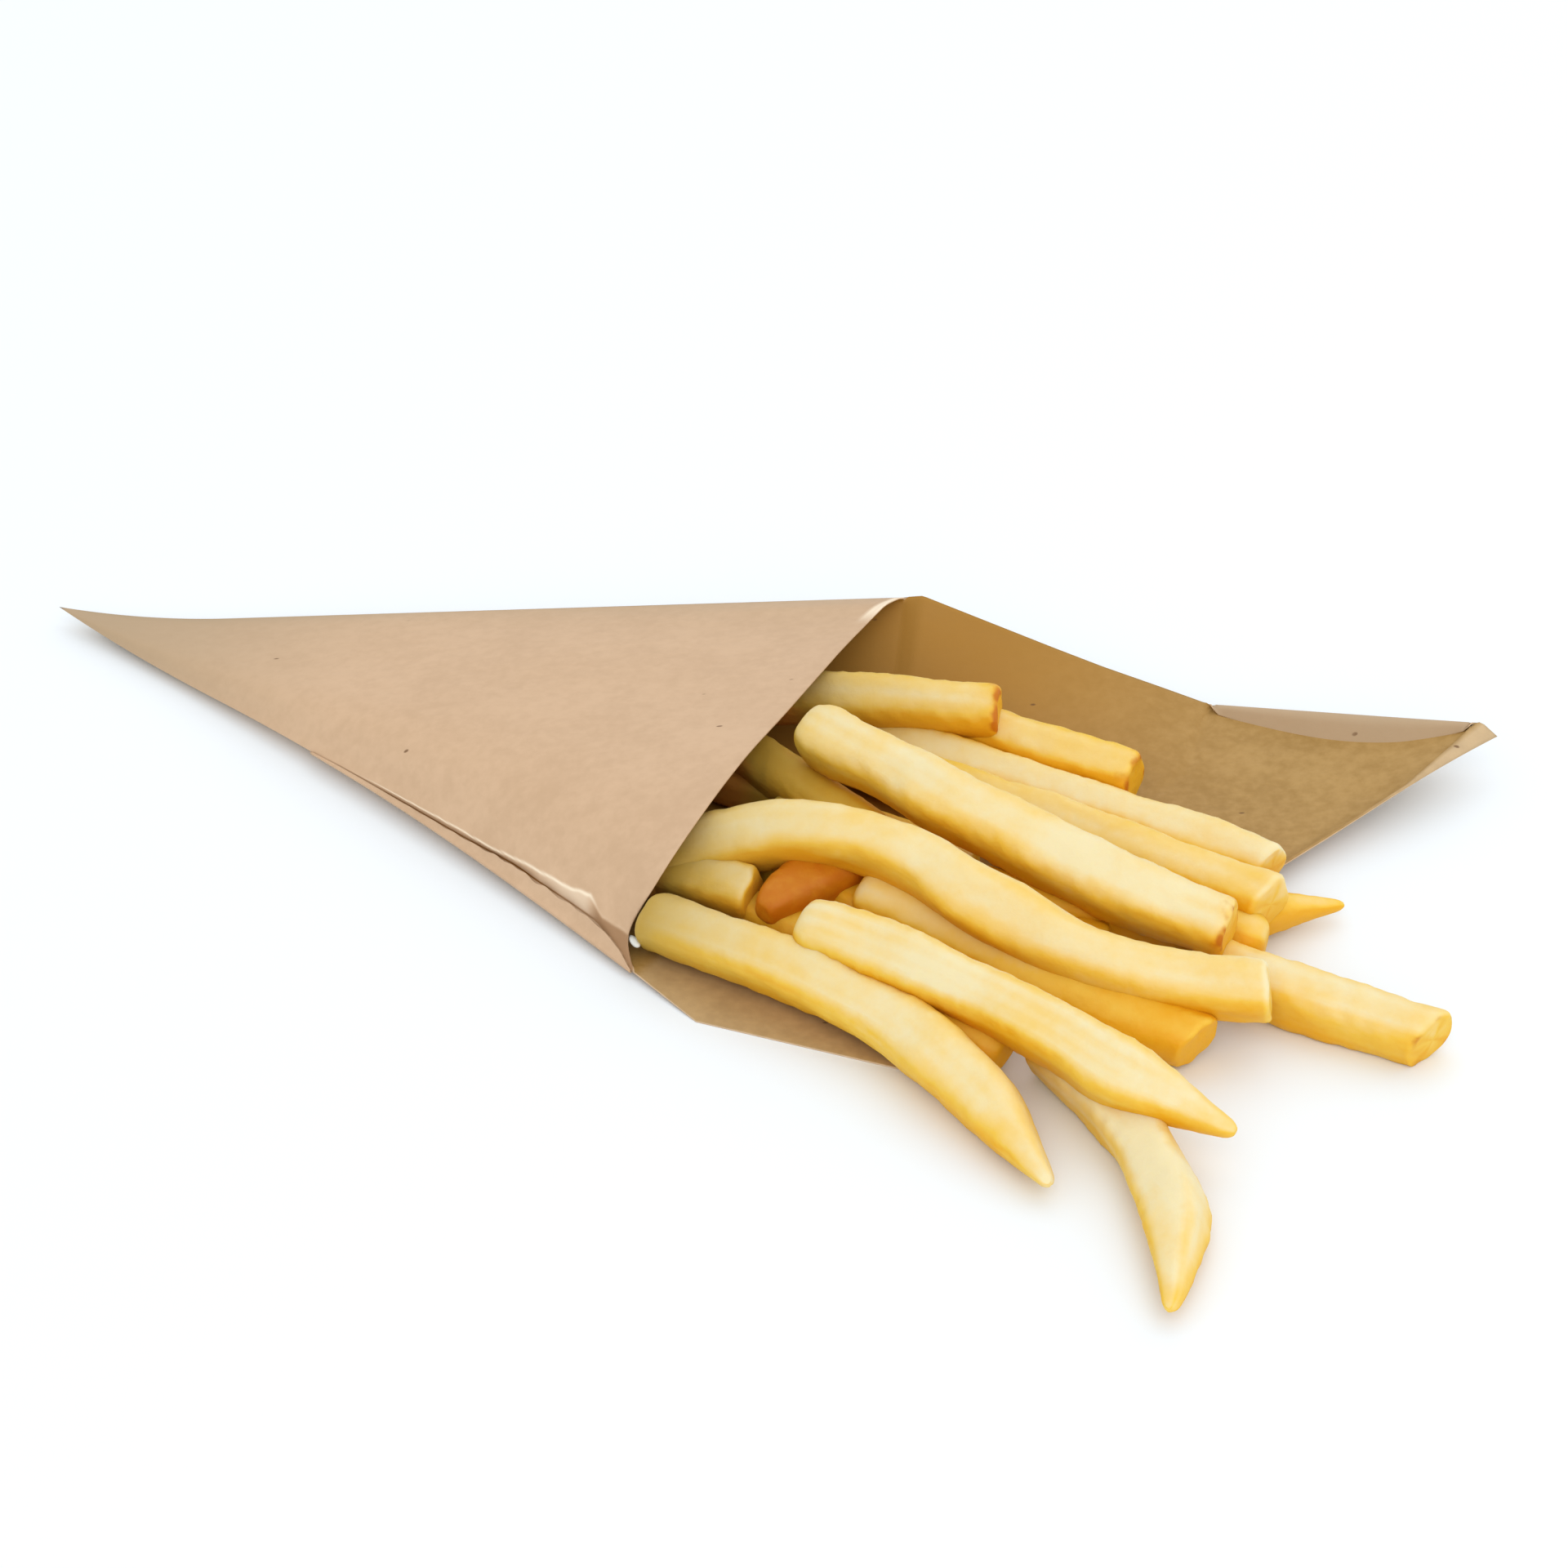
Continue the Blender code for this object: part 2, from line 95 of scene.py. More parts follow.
def tip_place() -> Array:
    """Place of the cone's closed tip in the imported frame, in metres."""
    low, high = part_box(Node.PAPER.value)
    return np.array([low[0], high[1], 0.0])


TIP = tip_place()


# ---- curves and fields

def smooth_step(value: Array, low: float = 0.0, high: float = 1.0) -> Array:
    """Cubic ease from 0 at low to 1 at high."""
    t = np.clip((np.asarray(value, dtype=float) - low) / (high - low), 0.0, 1.0)
    return t * t * (3.0 - 2.0 * t)


def fade(value: Array, low: float, high: float) -> Array:
    """Smooth step from 1 at low to 0 at high."""
    return 1 - smooth_step(value, low, high)


def held(value: Array) -> Array:
    """Value held between 0 and 1."""
    return np.clip(value, 0, 1)


def bell(value: Array, width: float) -> Array:
    """Bell curve: 1 at 0, 1/e at the width."""
    return np.exp(-(value / width) ** 2)


def quarter_circle(value: Array) -> Array:
    """Rises from 0 at 0, steeply at first, to 1 at 1."""
    return np.sqrt(1 - (1 - held(value)) ** 2)


def square_to(way: Sequence[float]) -> Array:
    """Unit plan vector square to a way, on its left."""
    return unit(np.array([-way[1], way[0]]))


def raised(plan: Array, height: Array) -> Array:
    """Plan points with their heights as the third coordinate."""
    return np.concatenate([plan, height[..., None]], axis=-1)


def smooth_through(places: Sequence[float], values: Sequence[float], at: Array) -> Array:
    """Cubic Hermite curve through knots, its slopes taken from the neighbours.

    Args:
        places: rising places of the knots.
        values: values at the knots.
        at: where the curve is wanted.

    Returns:
        The curve's value at each place.
    """
    knots, heights = np.asarray(places, dtype=float), np.asarray(values, dtype=float)
    slopes = np.gradient(heights, knots)
    at = np.clip(at, knots[0], knots[-1])
    left = np.clip(np.searchsorted(knots, at, side="right") - 1, 0, len(knots) - 2)
    step = knots[left + 1] - knots[left]
    t = (at - knots[left]) / step
    start = (1 + 2 * t) * (1 - t) ** 2 * heights[left] + t * (1 - t) ** 2 * step * slopes[left]
    stop = t * t * (3 - 2 * t) * heights[left + 1] - t * t * (1 - t) * step * slopes[left + 1]
    return start + stop


def along(places: Sequence[float], points: Sequence[Sequence[float]], at: Array) -> Array:
    """Straight-line interpolation of plan points; the result has X and Y last."""
    table = np.asarray(points, dtype=float)
    return np.stack([np.interp(at, places, table[:, axis]) for axis in (0, 1)], axis=-1)


def unit(vectors: Array) -> Array:
    """Vectors scaled to length one."""
    return vectors / np.maximum(np.linalg.norm(vectors, axis=-1, keepdims=True), 1e-9)


@dataclass(frozen=True)
class Ripple:
    """A seeded smooth field: a sum of sine waves of random direction and phase."""

    seed: int
    length: float
    waves: int = 7

    def at(self, points: Array) -> Array:
        """Value of the field, roughly within -1 to 1, at points of any dimension.

        Sum over the waves of sin(direction . point * 2 pi / length + phase), where the
        wave lengths are spread from 0.6 to 1.6 times the given length.
        """
        draw = np.random.default_rng(self.seed)
        size = points.shape[-1]
        ways = unit(draw.normal(size=(self.waves, size)))
        lengths = self.length * draw.uniform(0.6, 1.6, self.waves)
        phases = draw.uniform(0, 2 * np.pi, self.waves)
        turns = points @ ways.T * (2 * np.pi / lengths) + phases
        return np.sin(turns).sum(axis=-1) / math.sqrt(self.waves)


# ---- mesh making

def grid_normals(grid: Array) -> Array:
    """Unit normals of a grid of points: the cross product of its two differences."""
    return unit(np.cross(np.gradient(grid, axis=1), np.gradient(grid, axis=0)))


def upward_normals(grid: Array) -> Array:
    """Unit normals of a grid, turned over together to point up on the whole."""
    normals = grid_normals(grid)
    return normals * np.sign(normals[..., 2].mean())


def grid_quads(numbers: Array) -> Array:
    """Quads between the neighbours of a grid of vertex numbers, one row each."""
    return np.stack([numbers[:-1, :-1], numbers[:-1, 1:], numbers[1:, 1:],
                     numbers[1:, :-1]], axis=-1).reshape(-1, 4)


def new_object(name: str, data: bpy.types.ID) -> bpy.types.Object:
    """An object in the scene for a mesh, a lamp or a camera."""
    made = bpy.data.objects.new(name, data)
    bpy.context.scene.collection.objects.link(made)
    return made


@dataclass
class MeshPatchwork:
    """Points and faces that are gathered before they become one mesh."""

    points: list = field(default_factory=list)
    faces: list = field(default_factory=list)
    slots: list = field(default_factory=list)
    count: int = 0

    def add_points(self, points: Array) -> Array:
        """Store points and give back their numbers, in the shape of their grid."""
        flat = points.reshape(-1, 3)
        numbers = np.arange(self.count, self.count + len(flat)).reshape(points.shape[:-1])
        self.points.append(flat)
        self.count += len(flat)
        return numbers

    def add_faces(self, quads: Array, slot: int = 0, flip: bool = False) -> None:
        """Store faces with their material number, turned over if flip is set."""
        self.faces.append(quads[:, ::-1] if flip else quads)
        self.slots.append(np.full(len(quads), slot))

    def add_strip(self, first: Array, second: Array, slot: int, flip: bool = False) -> None:
        """Store quads between two rows of vertex numbers."""
        self.add_faces(grid_quads(np.stack([first, second])), slot, flip)

    def add_fan(self, apex: int, row: Array, slot: int = 0, flip: bool = False) -> None:
        """Store triangles from one vertex to a row of them."""
        fan = np.stack([np.full(len(row) - 1, apex), row[:-1], row[1:]], axis=-1)
        self.add_faces(fan, slot, flip)

    def add_tube(self, rings: Array, poles: Array, flip: bool = False) -> None:
        """Store quads round closed rings of vertices and a fan to the pole at each end."""
        closed = np.concatenate([rings, rings[:, :1]], axis=1)
        self.add_faces(grid_quads(closed), 0, flip)
        self.add_fan(poles[0], closed[0], 0, not flip)
        self.add_fan(poles[1], closed[-1], 0, flip)

    def make(self, name: str, materials: Materials,
             fields: Optional[dict] = None) -> bpy.types.Object:
        """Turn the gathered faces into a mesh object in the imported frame.

        Args:
            name: the object's name.
            materials: its material slots in order.
            fields: float values per point, by attribute name.

        Returns:
            The new object, linked to the scene.
        """
        places = np.concatenate(self.points) * MM + TIP
        mesh = bpy.data.meshes.new(name)
        faces = [face for block in self.faces for face in block.tolist()]
        mesh.from_pydata(places.tolist(), [], faces)
        mesh.polygons.foreach_set("material_index", np.concatenate(self.slots))
        mesh.polygons.foreach_set("use_smooth", np.ones(len(faces), bool))
        for label, values in (fields or {}).items():
            layer = mesh.attributes.new(label, "FLOAT", "POINT")
            layer.data.foreach_set("value", np.asarray(values, dtype=np.float32).ravel())
        for material in materials:
            mesh.materials.append(material)
        mesh.validate()
        mesh.update()
        return new_object(name, mesh)


def show(piece: bpy.types.Object, node: Node) -> None:
    """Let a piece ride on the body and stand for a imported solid."""
    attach(piece, BODY)
    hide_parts(node.value)
    LOG.info("%s: %d faces", piece.name, len(piece.data.polygons))


# ---- shading

def colour(red: int, green: int, blue: int) -> tuple:
    """Linear colour from the 0 to 255 values of a paint chart."""
    chart = np.array([red, green, blue]) / 255.0
    linear = np.where(chart <= 0.04045, chart / 12.92, ((chart + 0.055) / 1.055) ** 2.4)
    return (*[float(value) for value in linear], 1.0)


def operator(operation: str, swapped: bool = False) -> Callable:
    """A method of Wire that adds one Math node; swapped puts the operand first."""
    def method(self: "Wire", other: Operand) -> "Wire":
        """Wire that carries the result."""
        values = (other, self) if swapped else (self, other)
        return self.bench.node("ShaderNodeMath", {"operation": operation},
                               dict(enumerate(values)))
    return method


class Wire:
    """A shader socket that takes arithmetic; an expression adds Math nodes."""

    __add__ = __radd__ = operator("ADD")
    __sub__ = operator("SUBTRACT")
    __rsub__ = operator("SUBTRACT", swapped=True)
    __mul__ = __rmul__ = operator("MULTIPLY")

    def __init__(self, bench: "Bench", socket: bpy.types.NodeSocket) -> None:
        """Wrap a socket of the bench's tree."""
        self.bench = bench
        self.socket = socket

    def clamp(self) -> "Wire":
        """Held between 0 and 1."""
        return self.bench.node("ShaderNodeClamp", {}, {"Value": self})

    def ease(self, low: float, high: float) -> "Wire":
        """Smooth step from 0 at low to 1 at high."""
        return self.bench.node("ShaderNodeMapRange", {"interpolation_type": "SMOOTHSTEP"},
                               {"Value": self, "From Min": low, "From Max": high})


class Bench:
    """One material and the single method that makes any node in it."""

    def __init__(self, name: str) -> None:
        """Start a material with an empty Principled BSDF."""
        self.material = bpy.data.materials.new(name)
        self.material.use_nodes = True
        self.tree = self.material.node_tree
        self.shader = self.tree.nodes["Principled BSDF"]

    def node(self, kind: str, settings: dict, values: dict,
             output: Union[int, str] = 0) -> Wire:
        """Make a node, set it, and give its sockets values or links.

        Args:
            kind: the node's type.
            settings: properties to set first; "stops" fills a colour ramp.
            values: numbers, colours or wires by socket name or number.
            output: the socket that is handed on.

        Returns:
            The wrapped output socket.
        """
        made = self.tree.nodes.new(kind)
        for key, value in settings.items():
            if key == "stops":
                ramp = made.color_ramp
                while len(ramp.elements) < len(value):
                    ramp.elements.new(0.5)
                for element, (place, shade) in zip(ramp.elements, value):
                    element.position, element.color = place, shade
            else:
                setattr(made, key, value)
        for key, value in values.items():
            self.feed(made.inputs[key], value)
        return Wire(self, made.outputs[output])

    def feed(self, socket: bpy.types.NodeSocket, value: Feed) -> None:
        """Link a wire to a socket, or set the socket's own value."""
        if isinstance(value, Wire):
            self.tree.links.new(value.socket, socket)
        else:
            socket.default_value = value

    def mix(self, factor: Operand, first: Feed, second: Feed) -> Wire:
        """Colour mix: first where the factor is 0, second where it is 1."""
        mixed = self.tree.nodes.new("ShaderNodeMix")
        mixed.data_type = "RGBA"
        by_name = {socket.identifier: socket for socket in mixed.inputs}
        self.feed(by_name["Factor_Float"], factor)
        self.feed(by_name["A_Color"], first)
        self.feed(by_name["B_Color"], second)
        return Wire(self, next(socket for socket in mixed.outputs
                               if socket.identifier == "Result_Color"))

    def place(self, stretch: tuple = (1.0, 1.0, 1.0), turn: float = 0.0) -> Wire:
        """Object coordinates, scaled by stretch after a turn about Z."""
        raw = self.node("ShaderNodeTexCoord", {}, {}, "Object")
        return self.node("ShaderNodeMapping", {}, {
            "Vector": raw, "Rotation": (0.0, 0.0, turn), "Scale": stretch})

    def noise(self, where: Wire, scale: float, detail: float = 3.0,
              roughness: float = 0.5) -> Wire:
        """Noise texture value, about 0.5 on average."""
        return self.node("ShaderNodeTexNoise", {}, {
            "Vector": where, "Scale": scale, "Detail": detail, "Roughness": roughness})

    def field(self, name: str) -> Wire:
        """A float attribute of the mesh."""
        settings = {"attribute_type": "GEOMETRY", "attribute_name": name}
        return self.node("ShaderNodeAttribute", settings, {}, "Fac")

    def surface(self, **values: Feed) -> None:
        """Feed the Principled BSDF; underscores in names stand for spaces."""
        for key, value in values.items():
            self.feed(self.shader.inputs[key.replace("_", " ")], value)

    def bump(self, height: Wire, strength: float, distance: float) -> Wire:
        """Bump node output for the shader's Normal."""
        return self.node("ShaderNodeBump", {}, {
            "Height": height, "Strength": strength, "Distance": distance}, "Normal")


@dataclass(frozen=True)
class KraftFinish:
    """Brown kraft paper: faint cloudy pulp, fine grain and a few dark shives.

    The mesh field of stain and painted shade leads towards the darker stained colour. The field
    crease leads to a pale colour where it is positive, a painted highlight, and to a golden-brown
    one where it is negative, painted shade.
    """

    name: str
    light: tuple
    dark: tuple
    stained_and_shaded: tuple
    painted_highlight: tuple = colour(246, 226, 198)
    painted_shade: tuple = colour(130, 80, 12)
    shive: tuple = colour(104, 68, 32)
    shive_share: float = 0.5
    cloud_share: float = 0.45

    def make(self) -> bpy.types.Material:
        """Build the node material."""
        bench = Bench(self.name)
        raw = bench.place()
        cloud = bench.noise(raw, 60.0, 4.0, 0.6)
        fine = bench.noise(raw, 480.0, 4.0, 0.65)
        fibre = bench.noise(bench.place((160.0, 620.0, 400.0), 0.7), 1.0, 2.0, 0.6)
        pulp = cloud * self.cloud_share + fine * (0.85 - self.cloud_share) + fibre * 0.15
        base = bench.mix(pulp.ease(0.33, 0.67), self.dark, self.light)
        # Stain here is oil stain and painted shade; crease paints highlights where positive and
        # shade where negative.
        stain = bench.field("stain") + (cloud - 0.5) * 0.5 * bench.field("stain")
        base = bench.mix(stain.clamp(), base, self.stained_and_shaded)
        crease = bench.field("crease")
        base = bench.mix(crease.clamp(), base, self.painted_highlight)
        base = bench.mix((0.0 - crease).clamp(), base, self.painted_shade)
        speck = bench.node("ShaderNodeTexVoronoi", {"feature": "F1"}, {
            "Vector": bench.place((95.0, 210.0, 120.0), 0.9), "Scale": 1.0}, "Distance")
        grain = bench.noise(raw, 90.0, 1.0)
        spot = 1.0 - speck.ease(0.03, 0.065)
        spot = spot * grain.ease(self.shive_share, self.shive_share + 0.05)
        base = bench.mix((spot * 0.8).clamp(), base, self.shive)
        relief = fine * 0.5 + fibre * 0.4 + cloud * 0.8
        bench.surface(Base_Color=base, Roughness=(0.52 + 0.16 * fibre),
                      Specular_IOR_Level=0.35,
                      Normal=bench.bump(relief, 0.2, 0.0004))
        return bench.material


@dataclass(frozen=True)
class PotatoFinish:
    """Fried potato: pale dry faces that turn golden with frying and, as painted shade, on lower
    sides and between fries, and brown at cut edges.
    """

    name: str = "fried_potato"
    pale: tuple = colour(235, 219, 172)
    creamy: tuple = colour(237, 206, 130)
    gold: tuple = colour(236, 192, 67)
    deep: tuple = colour(231, 170, 19)
    brown: tuple = colour(195, 113, 0)
    oil_and_shade: tuple = colour(179, 145, 56)
    deep_shade: tuple = colour(190, 128, 52)
    soft: float = 0.32

    def make(self) -> bpy.types.Material:
        """Build the node material, led by the mesh's fields: golden tone with painted shade, burn,
        and dusk, the painted shade of the cone.
        """
        bench = Bench(self.name)
        raw = bench.place()
        cloud = bench.noise(raw, 110.0, 3.0, 0.6)
        pores = bench.noise(raw, 1100.0, 4.0, 0.6)
        skin = bench.noise(raw, 420.0, 3.0, 0.55)
        golden = bench.field("gold") + (cloud - 0.5) * 0.45 + (skin - 0.5) * 0.25
        burnt = bench.field("burn") + (cloud - 0.5) * 0.4 + (skin - 0.5) * 0.6
        stops = ((0.0, self.pale), (0.3, self.creamy), (0.65, self.gold), (1.0, self.deep))
        base = bench.node("ShaderNodeValToRGB", {"stops": stops}, {"Fac": golden.clamp()}, "Color")
        # Painted shade of the cone, led by dusk: olive by the mouth, a darker brown deep inside.
        base = bench.mix(bench.field("dusk"), base, self.oil_and_shade)
        base = bench.mix(bench.field("dusk").ease(0.955, 1.0), base, self.deep_shade)
        base = bench.mix(burnt.ease(0.35, 1.1), base, self.brown)
        relief = cloud * 0.8 + skin * 0.6 + pores * 0.25
        bench.surface(Base_Color=base, Roughness=(0.45 + 0.25 * skin),
                      Specular_IOR_Level=0.35,
                      Normal=bench.bump(relief, 0.4, 0.0006))
        bench.surface(Subsurface_Weight=self.soft, Subsurface_Scale=0.002,
                      Subsurface_Radius=(1.0, 0.85, 0.4))
        return bench.material


@dataclass(frozen=True)
class PlainFinish:
    """One quiet colour with a faint mottle, for the glue bead and the table."""

    name: str
    tone: tuple
    second: tuple
    roughness: float
    scale: float

    def make(self) -> bpy.types.Material:
        """Build the node material."""
        bench = Bench(self.name)
        cloud = bench.noise(bench.place(), self.scale, 2.0)
        bench.surface(Base_Color=bench.mix(cloud, self.tone, self.second),
                      Roughness=self.roughness)
        return bench.material


# ---- paper

@dataclass
class PaperCone:
    """The sheet: a front panel over the fries and a back panel that runs on as a flap.

    Across runs from the far fold (0) to the near fold (1). Row runs from the tip (0)
    to the mouth (1), and on along the flap to its end edge (2). Each table of the
    edges, the crest and the lap pairs rows with values; the mouth's own tables have
    their places across in common.
    """

    thickness: float = 0.26
    far_corner: tuple = (147.0, -15.0)
    near_corner: tuple = (103.0, -101.5)
    near_kink: tuple = (113.0, -112.5)
    flap_near_corner: tuple = (145.0, -124.5)
    flap_tip: tuple = (244.0, -46.5)
    kink_row: float = 1.3
    far_corner_lift: float = 15.0
    edge_height: tuple = ((1.0, 1.032, 1.26, 1.343, 1.442, 1.518, 1.973, 2.0),
                          (15.0, 15.9, 9.95, 7.9, 5.85, 4.2, 10.0, 10.0))
    edge_turn_rows: tuple = (0.9, 1.2, 1.85, 2.0)
    corner_drop: float = 2.2
    corner_reach: float = 0.2
    near_reach: float = 0.2
    cone_reach: float = 0.28
    flap_reach: float = 0.58
    near_corner_lift: float = 1.2
    near_fold_lift: float = 2.4
    near_fold_bow: float = 2.6
    tip_lift: float = 3.5
    tip_length: float = 30.0
    margin_share: float = 0.15
    usual_margin: float = 12.0
    roll_rows: tuple = (1.508, 1.973)
    roll_angle: float = math.radians(235)
    roll_radius: tuple = (0.55, 1.55)
    roll_lip: float = 3.2
    roll_skew: float = 1.2
    roll_lip_power: float = 0.7
    roll_onset: float = 0.16
    margin_onset: float = 0.07
    view_slope: float = 0.7
    roll_shares: tuple = (0.22, 0.78)
    mouth_place: tuple = (0.0, 0.035, 0.07, 0.11, 0.153, 0.235, 0.315, 0.463, 0.65, 0.80,
                          0.86, 0.91, 0.955, 1.0)
    mouth_height: tuple = (15.0, 15.4, 15.8, 16.2, 16.6, 17.5, 18.3, 19.5, 20.0, 18.4,
                           16.4, 12.2, 5.0, 1.2)
    mouth_bow: tuple = (-0.3, 0.2, 0.94, 1.35, 1.3, 0.75, 0.0, -0.9, -1.3, -1.3,
                        -0.9, 0.5, 3.0, 0.0)
    crest: tuple = ((0.46, 0.576, 0.71, 0.768, 0.824, 0.864, 0.908, 0.933, 0.958, 1.0),
                    (0.995, 0.975, 0.9627, 0.9603, 0.9525, 0.9505, 0.9483, 0.9435,
                     0.9567, 0.9563))
    crest_height: tuple = ((0.45, 0.6, 0.75, 0.88, 0.94, 0.98),
                           (0, 0.2, 0.35, 0.55, 0.4, 0.0))
    crest_width: float = 0.03
    groove_depth: tuple = ((0.45, 0.6, 0.8, 0.92, 1.0), (0, 0.1, 0.15, 0.15, 0.0))
    lap: tuple = ((0.44, 0.50, 0.60, 0.716, 0.782, 0.812, 0.845, 0.899, 0.946, 0.971,
                   0.985, 0.993, 1.0),
                  (1.0, 0.992, 0.985, 0.975, 0.9673, 0.9647, 0.9665, 0.9663, 0.967,
                   0.9743, 0.9828, 0.9950, 1.0))
    shoulder: float = 0.5
    flare: float = 0.45
    flare_ends: tuple = (0.05, 0.13)
    wave_height: float = 0.22
    wave_length: float = 46.0
    panel_size: tuple = (145.0, 97.0)
    hairline: float = 0.0016
    hairline_wander: float = 0.0006
    cone_rows: int = 112
    mouth_rows: int = 34
    dense_from: float = 0.9
    flap_rows: int = 130
    hollow_from: float = 0.08
    hollow_gaps: tuple = (0.45, 0.7)
    inner_tip: tuple = (0.85, 0.85, 1.0)

    def far_line(self, row: Array) -> tuple:
        """Plan and height of the far fold, then of the flap's far edge.

        The fold climbs in a straight line. Beyond the mouth the edge sinks to the start
        of the roll and climbs again; under the roll it gives up what the roll adds, so
        that the roll's outline, seen from in front, is straight.
        """
        plan = along((0, 1, 2), ((0, 0), self.far_corner, self.flap_tip), row)
        share = np.linspace(0, 1, 60)
        inset, climb = self.roll_section(self.usual_margin, share, np.asarray(row)[..., None])
        top = (climb - self.view_slope * inset).max(axis=-1)
        beyond = np.interp(row, *self.edge_height) - top
        return plan, np.where(row < 1, self.far_corner_lift * row, beyond)

    def roll_state(self, row: Array) -> tuple:
        """The roll's angle, radius and lip, and its share in the margin's shape.

        They follow half a sine wave along the flap that starts slowly and ends fast.
        """
        start, stop = self.roll_rows
        size = np.sin(np.pi * held((row - start) / (stop - start)) ** self.roll_skew)
        small, large = self.roll_radius
        angle = self.roll_angle * smooth_step(size, 0.0, self.roll_onset)
        lip = self.roll_lip * size ** self.roll_lip_power
        begun = smooth_step(size, 0.0, self.margin_onset)
        return angle, small + (large - small) * size, lip, begun

    def near_line(self, row: Array) -> tuple:
        """Plan and height of the near fold, then of the flap's near edge to its corner."""
        corners = ((0, 0), self.near_corner, self.near_kink, self.flap_near_corner)
        rows = (0, 1, self.kink_row, 2)
        swell = np.sin(np.pi * held(row))
        bow = (self.near_fold_bow * swell)[..., None] * square_to(self.near_corner)
        plan = along(rows, corners, row) + bow
        height = np.interp(row, rows, (0, self.near_corner_lift, 0, 0))
        return plan, height + self.near_fold_lift * swell

    def inward(self, row: Array) -> Array:
        """Unit plan vector square to the far line, swung along the end edge at the last."""
        edge = np.subtract(self.flap_tip, self.far_corner)
        end = np.subtract(self.flap_near_corner, self.flap_tip)
        fold = math.atan2(self.far_corner[1], self.far_corner[0])
        turn = math.atan2(edge[1], edge[0])
        last = math.atan2(end[1], end[0]) + math.pi / 2
        heading = np.interp(row, self.edge_turn_rows, (fold, turn, turn, last))
        return np.stack([np.sin(heading), -np.cos(heading)], axis=-1)

    def roll_section(self, margin: Array, share: Array, row: Array) -> tuple:
        """Section of the rolled margin: flat, then an arc, then a straight lip.

        Args:
            margin: width of the margin.
            share: 0 where the margin begins to 1 at its free edge.
            row: place along the flap.

        Returns:
            Distance in from the far line and height above the flat.
        """
        first, second = self.roll_shares
        full, radius, lip, begun = self.roll_state(row)
        flat = held(share / first)
        angle = full * held((share - first) / (second - first))
        lip = lip * held((share - second) / (1 - second))
        inset = margin - (margin - radius) * flat - radius * np.sin(angle) - lip * np.cos(full)
        climb = radius * (1 - np.cos(angle)) + lip * np.sin(full)
        return (1 - begun) * (1 - share) * margin + begun * inset, begun * climb

    def tip_bend(self, plan: Array) -> Array:
        """The flattened tip bends up with the square of the way left to it."""
        return self.tip_lift * held(1 - plan[..., 0] / self.tip_length) ** 2

    def back(self, across: Array, row: Array) -> Array:
        """Outer face of the back panel and the flap.

        Straight across from the far line to the near line, resting on the table. The
        sides rise to their folds with the square of the way left, and the far margin
        follows the roll's section.
        """
        far, far_height = self.far_line(row)
        near, near_height = self.near_line(row)
        width = np.linalg.norm(far - near, axis=-1)
        margin = self.margin_share * width
        part = held(1 - across / self.margin_share)
        inset, climb = self.roll_section(margin, part, row)
        inward = self.inward(row)
        base = far + margin[..., None] * inward
        main = held((across - self.margin_share) / (1 - self.margin_share))
        plan = base + main[..., None] * (near - base) + (inset - margin)[..., None] * inward
        share = (np.clip(inset, 0, margin) + main * (width - margin)) / width
        far_reach = self.cone_reach + self.flap_reach * held(row - 1) ** 2
        height = far_height * held(1 - share / far_reach) ** 2
        left = (share - (1 - self.near_reach)) / self.near_reach
        height = height + near_height * held(left) ** 2
        bent = held((row - self.roll_rows[1]) / (2 - self.roll_rows[1]))
        height = height - self.corner_drop * bent * held(1 - share / self.corner_reach) ** 2
        height = height + climb + self.tip_bend(plan)
        return raised(plan, height)

    def arch(self, across: Array, row: Array) -> Array:
        """Outer face of the front panel, before its creases.

        Straight lines from the tip to the mouth's arched edge, drawn in towards the
        near fold's own curve with the fourth power of across.
        """
        chord = np.subtract(self.near_corner, self.far_corner)
        bow = smooth_through(self.mouth_place, self.mouth_bow, across)[..., None]
        mouth = self.far_corner + across[..., None] * chord - bow * square_to(chord)
        height = smooth_through(self.mouth_place, self.mouth_height, across) * row
        near, near_height = self.near_line(row)
        share = across ** 4
        plan = row[..., None] * mouth
        plan = plan + share[..., None] * (near - row[..., None] * np.array(self.near_corner))
        height = height + share * (near_height - row * self.near_corner_lift)
        height = height + self.tip_bend(plan)
        return raised(plan, height)

    def crease(self, across: Array, row: Array) -> Array:
        """How far the front panel stands proud of its arch, in millimetres.

        A crest along the seam falls away slowly on its far side and steeply into the
        groove where the panel's margin dips behind the lap. The far shoulder swells
        near the mouth, and the whole panel has slow shallow waves.
        """
        crest, lap = np.interp(row, *self.crest), np.interp(row, *self.lap)
        tall, deep = np.interp(row, *self.crest_height), np.interp(row, *self.groove_depth)
        before = tall * bell(crest - across, self.crest_width)
        drop = smooth_step((across - crest) / np.maximum(lap - crest, 0.004))
        after = tall - (tall + deep) * drop
        rest = -deep * (1 - smooth_step((across - lap) / np.maximum(1 - lap, 0.002)))
        seam = np.where(across < crest, before, np.where(across < lap, after, rest))
        swell = self.shoulder * smooth_step(row, 0.72, 0.95) * bell(across - 0.045, 0.035)
        lip = smooth_step(row, 0.988, 1.0) * held(across / 0.02)
        lip = self.flare * lip * fade(across, *self.flare_ends)
        spots = np.broadcast_arrays(row * self.panel_size[0], across * row * self.panel_size[1])
        waves = Ripple(5, self.wave_length).at(np.stack(spots, axis=-1))
        share = held(across * 8) * held((0.93 - across) * 12) * smooth_step(row, 0.05, 0.4)
        return seam + swell + lip + self.wave_height * waves * share

    def front(self, across: Array, row: Array) -> Array:
        """Outer face of the front panel: the arch moved out by its creases."""
        base = self.arch(across, row)
        return base + self.crease(across, row)[..., None] * upward_normals(base)

